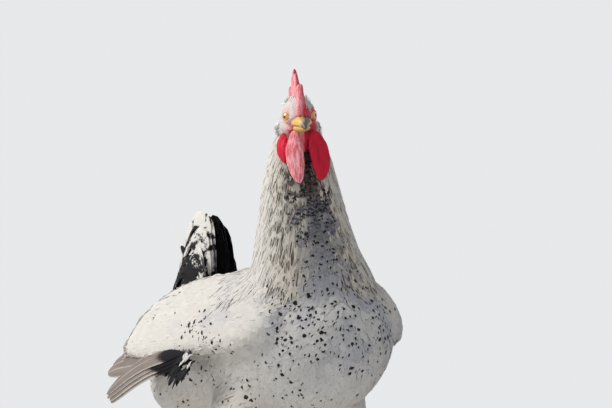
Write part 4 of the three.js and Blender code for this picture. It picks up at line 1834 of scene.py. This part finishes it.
@dataclass
class Quills:
    """The flight feathers that show below the coverts of a folded wing."""

    random: np.random.Generator
    finish: Finish
    soft_finish: Finish
    coverts: int = 34

    PRIMARIES = Fan(
        node="primaries", count=4, arch=12 * MM, width=18 * MM, foot=0.46,
        roots=(((0, 0, 1), (0, 14, 4)), ((0, 0, 1), (0, 4, -4))),
        tips=(((1, 1, 0), (-4, 0, 10)), ((1, 1, 0), (-2, -9, 0))),
    )
    SECONDARIES = Fan(
        node="secondaries", count=6, arch=8 * MM, width=21 * MM, foot=0.0,
        roots=(((0, 0, 1), (-3, 22, 0)), ((0, 0, 1), (1, 0, -14))),
        tips=(((0, 1, 1), (4, -16, -8)), ((1, 1, 0), (0, 0, 8))),
    )

    def spread(self, sheaf: Sheaf, fan: Fan, side: str) -> Rows:
        """Spreads feathers between a line of roots and a line of tips.

        Args:
            sheaf: Where they go.
            fan: What they are like.
            side: Left or right.

        Returns:
            The first and the last root, on the left wing.
        """
        corners = np.array(box(f"{fan.node}_{side}", side))
        roots, tips = (
            np.array([corners[list(corner), range(3)] + np.array(offset) * MM for corner, offset in ends])
            for ends in (fan.roots, fan.tips)
        )
        mirror = np.array([SIDES[side], 1.0, 1.0])
        for number in range(fan.count):
            share = number / (fan.count - 1)
            root, tip = (ends[0] * (1 - share) + ends[1] * share for ends in (roots, tips))
            tip = tip + self.random.normal(size=3) * (0.3 * MM, 1.8 * MM, 0.8 * MM)
            out = np.array([0.9 * MM * (fan.count - number), 0.0, 0.0])
            middle = (root + tip) / 2 + (0.0, 0.0, fan.arch)
            points = np.array([root, middle, tip]) + out
            tint = np.array(TAUPE) * (0.85 + 0.3 * self.random.random())
            facing = np.array([1.0, 0.06, 0.42 - 0.2 * share])
            black = fan.foot + 0.08 * self.random.normal() if fan.foot else 0.0
            margin = 0.35 + 0.45 * self.random.random()
            sheaf.add(points * mirror, facing * mirror, fan.width, tint, (black, margin, 0.0, 0.0))
        return roots

    def under_coverts(self, side: str, roots: Rows) -> None:
        """Covers the feet of the primaries with loose black and white feathers.

        Args:
            side: Left or right.
            roots: The first and the last root of the primaries, on the left wing.
        """
        sheaf = Sheaf(Cut.COVERT, 8)
        mirror = np.array([SIDES[side], 1.0, 1.0])
        for number in range(self.coverts):
            share, ahead = self.random.random(), self.random.random()
            root = roots[0] * (1.0 - share) + roots[1] * share
            root = root + (3.0 * MM, (-16.0 + 44.0 * ahead) * MM, 4.0 * MM)
            root = root - (0.0, 0.0, (8.0 * ahead + 10.0 * share) * MM)
            length = (24.0 + 14.0 * self.random.random()) * MM
            fall = -0.25 - 0.35 * share - 0.2 * self.random.random()
            way = unit(np.array([-0.06 + 0.1 * self.random.random(), 1.0, fall]))
            points = [root, root + way * length / 2 + (1.2 * MM, 0.0, 1.5 * MM), root + way * length]
            black = self.random.random() < 0.30 + 0.68 * step(0.12, 0.35, ahead)
            tint = np.array(WHITE) * (0.9 + 0.1 * self.random.random())
            facing = np.array([1.0, 0.0, 0.3]) + 0.15 * self.random.normal(size=3)
            sheaf.add(points * mirror, facing * mirror, 9 * MM, tint, (0.0, 0.0, 0.0, 1.0 if black else 0.5))
        name = f"under_coverts_{side}"
        done(link(name, sheaf.mesh(name, self.random)), self.soft_finish, "plumage")

    def build(self) -> None:
        """Builds both wings' quills."""
        for side in SIDES:
            sheaf = Sheaf(Cut.FLIGHT)
            self.under_coverts(side, self.spread(sheaf, self.PRIMARIES, side))
            self.spread(sheaf, self.SECONDARIES, side)
            mesh = sheaf.mesh(f"quills_{side}", self.random)
            done(link(mesh.name, mesh), self.finish, "flight", (f"secondaries_{side}", f"primaries_{side}"))


@dataclass
class Tail:
    """A short bushy tail: main feathers, arched sickles and the coverts that cloak them."""

    random: np.random.Generator
    finish: Finish
    main: int = 6
    sickles: int = 4
    coverts: int = 46
    main_width: float = 24 * MM
    sickle_width: float = 24 * MM
    covert_width: float = 17 * MM

    FACING = ((1, -0.3, 0.1), (1, -0.25, 0.3), (0.9, 0.0, 0.55), (0.95, 0.3, 0.35), (1, 0.3, 0.1))

    def arcs(self, side: str) -> Rows:
        """Gives the routes that the arched feathers follow, from the middle outwards.

        Args:
            side: Left or right.

        Returns:
            For each arc its root, rise, peak, fall and end.
        """
        shares = {
            "tail_sickle": [[(0.40, 0.10, 0.0), (0.40, 0.37, 0.93), (0.46, 0.93, 0.22)]],
            "tail_coverts": [
                [(0.16, 0.19, 0.06), (0.40, 0.40, 0.85), (0.44, 0.93, 0.22)],
                [(0.40, 0.14, 0.0), (0.72, 0.35, 0.57), (0.80, 0.74, 0.02)],
            ],
        }
        arcs = []
        for name, routes in shares.items():
            low, high = box(f"{name}_{side}", side)
            for route in routes:
                root, peak, end = (low + (high - low) * np.array(share) for share in route)
                rise = (root + peak) / 2 + (0.0, -8 * MM, 10 * MM)
                fall = (peak + end) / 2 + (0.0, 8 * MM, 8 * MM)
                arcs.append([root, rise, peak, fall, end])
        last = np.array(arcs[-1])
        foot = last[0]
        arcs.append(foot + (last - foot) * (1.0, 0.62, 0.55) + (5 * MM, 2 * MM, -6 * MM))
        return np.array(arcs)

    def fanned(self) -> Sheaf:
        """Spreads the main feathers up from the rump.

        Returns:
            The main feathers of both sides.
        """
        low, high = box("tail_fan")
        length = (high[2] - low[2]) * 1.04
        sheaf = Sheaf(Cut.PLUME)
        for sign in SIDES.values():
            for number in range(self.main):
                angle = math.radians(86.0 - 5.5 * number)
                root = np.array([sign * 2 * MM, low[1] + 6 * MM, low[2] - 6 * MM])
                reach = np.array([sign * (0.05 + 0.035 * number), math.cos(angle), math.sin(angle)])
                points = [root, root + reach * length / 2 + (0, -2 * MM, 0), root + reach * length]
                dark = 0.62 + 0.2 * self.random.random()
                tint = WHITE if number % 2 else SLATE
                sheaf.add(points, (sign, 0.25, 0.2), self.main_width, tint, (0.0, 0.0, 0.0, dark))
        return sheaf

    def arched(self, side: str) -> Sheaf:
        """Bends sickles and coverts over one side, pale on the right and black on the left.

        Args:
            side: Left or right.

        Returns:
            The feathers of the side.
        """
        arcs = self.arcs(side)
        pale = side == "right"
        mirror = np.array([SIDES[side], 1.0, 1.0])
        sheaf = Sheaf(Cut.PLUME)
        for number in range(self.sickles + self.coverts):
            great = number < self.sickles
            place = self.random.random()
            place = 0.25 * place if great else (len(arcs) - 1.001) * place**0.8
            first = int(place)
            arc = arcs[first] * (1 - place + first) + arcs[first + 1] * (place - first)
            size = 1.0 if great else 0.74 + 0.26 * self.random.random()
            size -= 0.0 if pale else 0.05
            arc = arc[0] + (arc - arc[0]) * size
            arc = arc + self.random.normal(size=(1, 3)) * (2.2 * MM, 3 * MM, 2 * MM)
            facing = np.array(self.FACING) + 0.12 * self.random.normal(size=3)
            width = self.sickle_width if great else self.covert_width - 2.0 * MM * place
            dark = (0.46 + 0.06 * place if pale else 0.84) + 0.08 * self.random.normal()
            mark = (0.0, 0.0, 0.0, float(np.clip(dark, 0.3, 0.95)))
            sheaf.add(arc * mirror, facing * mirror, width, WHITE, mark)
        return sheaf

    def build(self) -> None:
        """Builds the tail in three pieces."""
        pieces = {"tail_main": (self.fanned(), ("tail_fan",))}
        for side in SIDES:
            nodes = f"tail_sickle_{side}", f"tail_coverts_{side}"
            pieces[f"tail_{side}"] = (self.arched(side), nodes)
        for name, (sheaf, nodes) in pieces.items():
            done(link(name, sheaf.mesh(name, self.random)), self.finish, "tail", nodes)


# ---- Bill, eyes, claws and spurs ----


@dataclass(frozen=True)
class HornFinish:
    """Horn from pale to dark by a share painted on each piece, partly painted shade on the ridge of the bill,
    with fine growth lines.
    """

    name: str
    pale: tuple
    dark: tuple
    rough: float = 0.38

    def material(self) -> Finish:
        """Builds the material.

        Returns:
            The material of the horny pieces.
        """
        shader = Shader(self.name)
        tone_and_shade = shader.attribute("Layer")
        lines = shader.noise(900.0, 3.0, (1.0, 1.0, 0.2))
        cloud = shader.noise(260.0, 3.0)
        share = (tone_and_shade + (cloud - 0.5) * 0.3).between(0.05, 0.95)
        colour = shader.mix(share, self.pale, self.dark)
        colour = shader.mix(lines.between(0.45, 0.75) * 0.25, colour, shader.mix(0.5, colour, self.dark))
        rough = lines.between(0.3, 0.8) * 0.15 + self.rough
        return shader.done(Base_Color=colour, Roughness=rough, Normal=shader.bump(lines, 0.06 * MM))


@dataclass
class Horn:
    """The horny pieces: bill, claws and spurs, rounded from their solids."""

    head: HeadFrame
    voxel: float = 0.42 * MM

    def piece(self, node: str, finish: Finish, slot: str, tone_and_shade: Callable) -> Piece:
        """Rounds one solid.

        Args:
            node: The CAD solid.
            finish: Its material.
            slot: Its material slot.
            tone_and_shade: Moves the vertices and tells how dark each is.

        Returns:
            The piece.
        """
        copy = melted(f"horn_{node}", [solid_copy(node, 0.12 * MM, 1)], self.voxel, 5)
        places, dark = tone_and_shade(places_of(copy.data))
        move_to(copy.data, places)
        paint(copy.data, "Layer", dark)
        return done(copy, finish, slot, (node,))

    def bill(self, places: Rows) -> Pair:
        """Sinks the nostrils and darkens the ridge and the tip of the bill, with painted shade that darkens
        the ridge's left half further.

        Args:
            places: The vertices of the bill.

        Returns:
            The moved vertices and how dark each is.
        """
        local = self.head.inward(places) / MM
        for sign in SIDES.values():
            offset = (local - (sign * 6.4, -26.0, -4.6)) / (2.6, 3.2, 1.2)
            pit = np.exp(-(offset**2).sum(1))
            local = local - pit[:, None] * (sign * 1.4, 0.0, 0.5)
        across, back, up = local.T
        edge = up + 10.6 + 0.42 * np.maximum(-36.0 - back, 0.0)
        ridge = step(0.6, 3.2, edge) * step(7.5, 4.0, np.abs(across - 2.0))
        # The ridge is dark horn, darkest on its left half as painted shade; the tip is dark horn.
        grey = np.maximum(ridge * (0.42 + 0.58 * step(-0.5, 2.5, across)), step(-38.0, -44.0, back) * 0.9)
        return self.head.outward(local * MM), grey * step(-12.0, -17.0, back)

    def build(self) -> None:
        """Builds every horny piece."""
        bill = HornFinish("bill", (0.72, 0.46, 0.12), (0.075, 0.07, 0.08)).material()
        claw = HornFinish("claw", (0.42, 0.33, 0.22), (0.10, 0.07, 0.05), 0.45).material()

        def plain(places: Rows) -> Pair:
            """Leaves the shape as it is, darker towards the top."""
            return places, step(places[:, 2].min(), places[:, 2].max(), places[:, 2]) * 0.8

        self.piece("bill_upper", bill, "beak", self.bill)
        self.piece("bill_lower", bill, "beak", lambda places: (places, np.zeros(len(places))))
        for side in SIDES:
            self.piece(f"spur_{side}", claw, "claw", plain)
            for toe in Skin.TOES:
                self.piece(f"claw_{toe}_{side}", claw, "claw", plain)


@dataclass(frozen=True)
class EyeFinish:
    """A wet eye: black pupil, orange iris with fine spokes and a dark rim."""

    pupil: float = 0.25
    iris: float = 0.72
    orange: tuple = (0.80, 0.23, 0.02)
    amber: tuple = (0.92, 0.46, 0.07)
    rust: tuple = (0.42, 0.08, 0.015)
    gold: tuple = (0.95, 0.62, 0.16)
    black: tuple = (0.003, 0.003, 0.004)
    rim: tuple = (0.30, 0.12, 0.08)

    def material(self) -> Finish:
        """Builds the material.

        Returns:
            The material of the eyeballs.
        """
        shader = Shader("eye")
        ring = shader.attribute("Ring")
        spokes = shader.noise(1500.0, 4.0) * 0.5 + shader.noise(700.0, 2.0) * 0.5
        iris = shader.mix(spokes.between(0.35, 0.65), self.orange, self.amber)
        iris = shader.mix(ring.between(self.iris * 0.72, self.iris), iris, self.rust)
        inner = ring.between(self.pupil + 0.09, self.pupil + 0.01)
        iris = shader.mix(inner * 0.55, iris, self.gold)
        colour = shader.mix(ring.between(self.pupil + 0.012, self.pupil - 0.012), iris, self.black)
        colour = shader.mix(ring.between(self.iris, self.iris + 0.05), colour, self.rim)
        return shader.done(Base_Color=colour, Roughness=0.22, Coat_Weight=1.0, Coat_Roughness=0.02)


@dataclass
class Eyes:
    """Both eyeballs, each turned out and a little forwards."""

    head: HeadFrame
    bulge: float = 0.5 * MM

    def build(self) -> None:
        """Builds the eyeballs in their sockets."""
        finish = EyeFinish().material()
        for side, sign in SIDES.items():
            sphere = {"u_segments": 64, "v_segments": 48, "radius": self.head.BALL}
            mesh = made(f"eyeball_{side}", bmesh.ops.create_uvsphere, **sphere)
            axis = Vector(self.head.turned(unit(np.array([sign, *self.head.GAZE]))))
            mesh.transform(axis.to_track_quat("Z", "Y").to_matrix().to_4x4())
            places = places_of(mesh)
            angle = np.degrees(np.arccos(np.clip(unit(places) @ np.array(axis), -1.0, 1.0)))
            places = places * (1.0 + self.bulge / self.head.BALL * step(42.0, 0.0, angle))[:, None]
            centre = self.head.outward(np.array(self.head.EYE) * (sign, 1.0, 1.0))
            move_to(mesh, places + centre)
            paint(mesh, "Ring", angle / 60.0)
            done(link(mesh.name, mesh), finish, "eye", (f"eye_{side}",))


# ---- Studio ----


@dataclass(frozen=True)
class Studio:
    """A pale floor that fades into the surround, soft lamps and the camera in front of the bird."""

    distance: float = 3.0
    azimuth: float = math.radians(-30.0)
    view_width: float = 0.6426
    aim_height: float = 0.375
    aim_ahead: float = 0.030
    shift_right: float = 6.3 * MM
    shift_up: float = 23.1 * MM
    surround: tuple = (0.80, 0.81, 0.82)
    sky: tuple = (0.93, 0.96, 1.0)
    ambient: float = 0.31
    lamp_distance: float = 2.2
    lamps: tuple = (
        ("key", -112.0, 38.0, 0.9, 44.0, (1.0, 0.97, 0.92)),
        ("fill", -10.0, 30.0, 2.4, 9.0, (0.94, 0.97, 1.0)),
    )

    def camera(self) -> None:
        """Sets a long lens before the bird, about level with its neck."""
        feet = [sum(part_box(f"foot_{side}"), Vector()) / 2 for side in SIDES]
        middle = Vector((0.0, (feet[0].y + feet[1].y) / 2 - self.aim_ahead, self.aim_height))
        back = Vector((math.sin(self.azimuth), -math.cos(self.azimuth), 0.0))
        right = Vector((math.cos(self.azimuth), math.sin(self.azimuth), 0.0))
        target = middle + right * self.shift_right + Vector((0.0, 0.0, self.shift_up))
        lens = bpy.data.cameras.new("camera")
        lens.sensor_width = 36.0
        lens.lens = self.distance / self.view_width * lens.sensor_width
        camera = link("camera", lens)
        camera.location = middle + back * self.distance
        camera.rotation_mode = "QUATERNION"
        camera.rotation_quaternion = (target - camera.location).to_track_quat("-Z", "Y")
        bpy.context.scene.camera = camera

    def lamp(
        self, name: str, azimuth: float, rise: float, size: float, power: float, colour: Sequence[float]
    ) -> None:
        """Hangs a square soft box that looks at the bird.

        Args:
            name: The lamp's name.
            azimuth: Degrees round the bird, 0 in front of its breast.
            rise: Degrees above the horizon.
            size: The side of the box.
            power: Its power in watts.
            colour: Its colour.
        """
        data = bpy.data.lights.new(name, "AREA")
        data.shape, data.size, data.energy, data.color = "SQUARE", size, power, colour
        a, e = math.radians(azimuth), math.radians(rise)
        back = Vector((math.sin(a) * math.cos(e), -math.cos(a) * math.cos(e), math.sin(e)))
        lamp = link(name, data)
        lamp.location = Vector((0.0, 0.0, 0.3)) + back * self.lamp_distance
        lamp.rotation_mode = "QUATERNION"
        lamp.rotation_quaternion = back.to_track_quat("Z", "Y")

    def floor(self) -> None:
        """Lays the floor."""
        floor = link("floor", made("floor", bmesh.ops.create_grid, x_segments=8, y_segments=8, size=7.0))
        shader = Shader("floor")
        mottle = shader.noise(3.0, 2.0).between(0.3, 0.7)
        colour = shader.mix(mottle, (0.72, 0.72, 0.71), (0.76, 0.76, 0.75))
        material = shader.done(Base_Color=colour, Roughness=0.9, Normal=shader.bump(mottle, MM, 0.1))
        place = shader.add("TexCoord", output="Object")
        far = shader.vector("LENGTH", {0: place}, "Value").between(0.7, 1.9)
        glow = shader.add("Emission", None, {"Color": self.surround, "Strength": 1.0})
        shader.cover(far * shader.seen(), glow)
        floor.data.materials.append(material)

    def build(self) -> None:
        """Sets camera, floor, lamps and the pale surround."""
        self.camera()
        self.floor()
        for lamp in self.lamps:
            self.lamp(*lamp)
        world = Shader("surround", "worlds")
        bpy.context.scene.world = world.done(Color=self.sky, Strength=self.ambient)
        world.cover(world.seen(), world.add("Background", None, {"Color": self.surround}))
        bpy.context.scene.view_settings.view_transform = "Standard"


def main() -> None:
    """Builds the bird from the inside out, then the studio."""
    logging.basicConfig(level=logging.INFO, format="%(message)s")
    head = HeadFrame()
    marks = Markings()
    skin = Skin(head, marks)
    outline_piece = skin.outline()
    outline = Ground(outline_piece.data, Skin.TORSO)
    skin.build(outline)
    bpy.data.objects.remove(outline_piece)
    coat = Coat(outline, POOL)
    plumage = Plumage(coat, marks, PlumageFinish().material())
    plumage.build()
    FaceCoat(head, plumage).build(skin.face)
    Quills(coat.random, FlightFinish().material(), plumage.finish).build()
    Tail(np.random.default_rng(TAIL_SEED), PlumageFinish("tail", softness=0.55).material()).build()
    Horn(head).build()
    Eyes(head).build()
    Studio().build()
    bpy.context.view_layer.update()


if __name__ == "__main__":
    main()
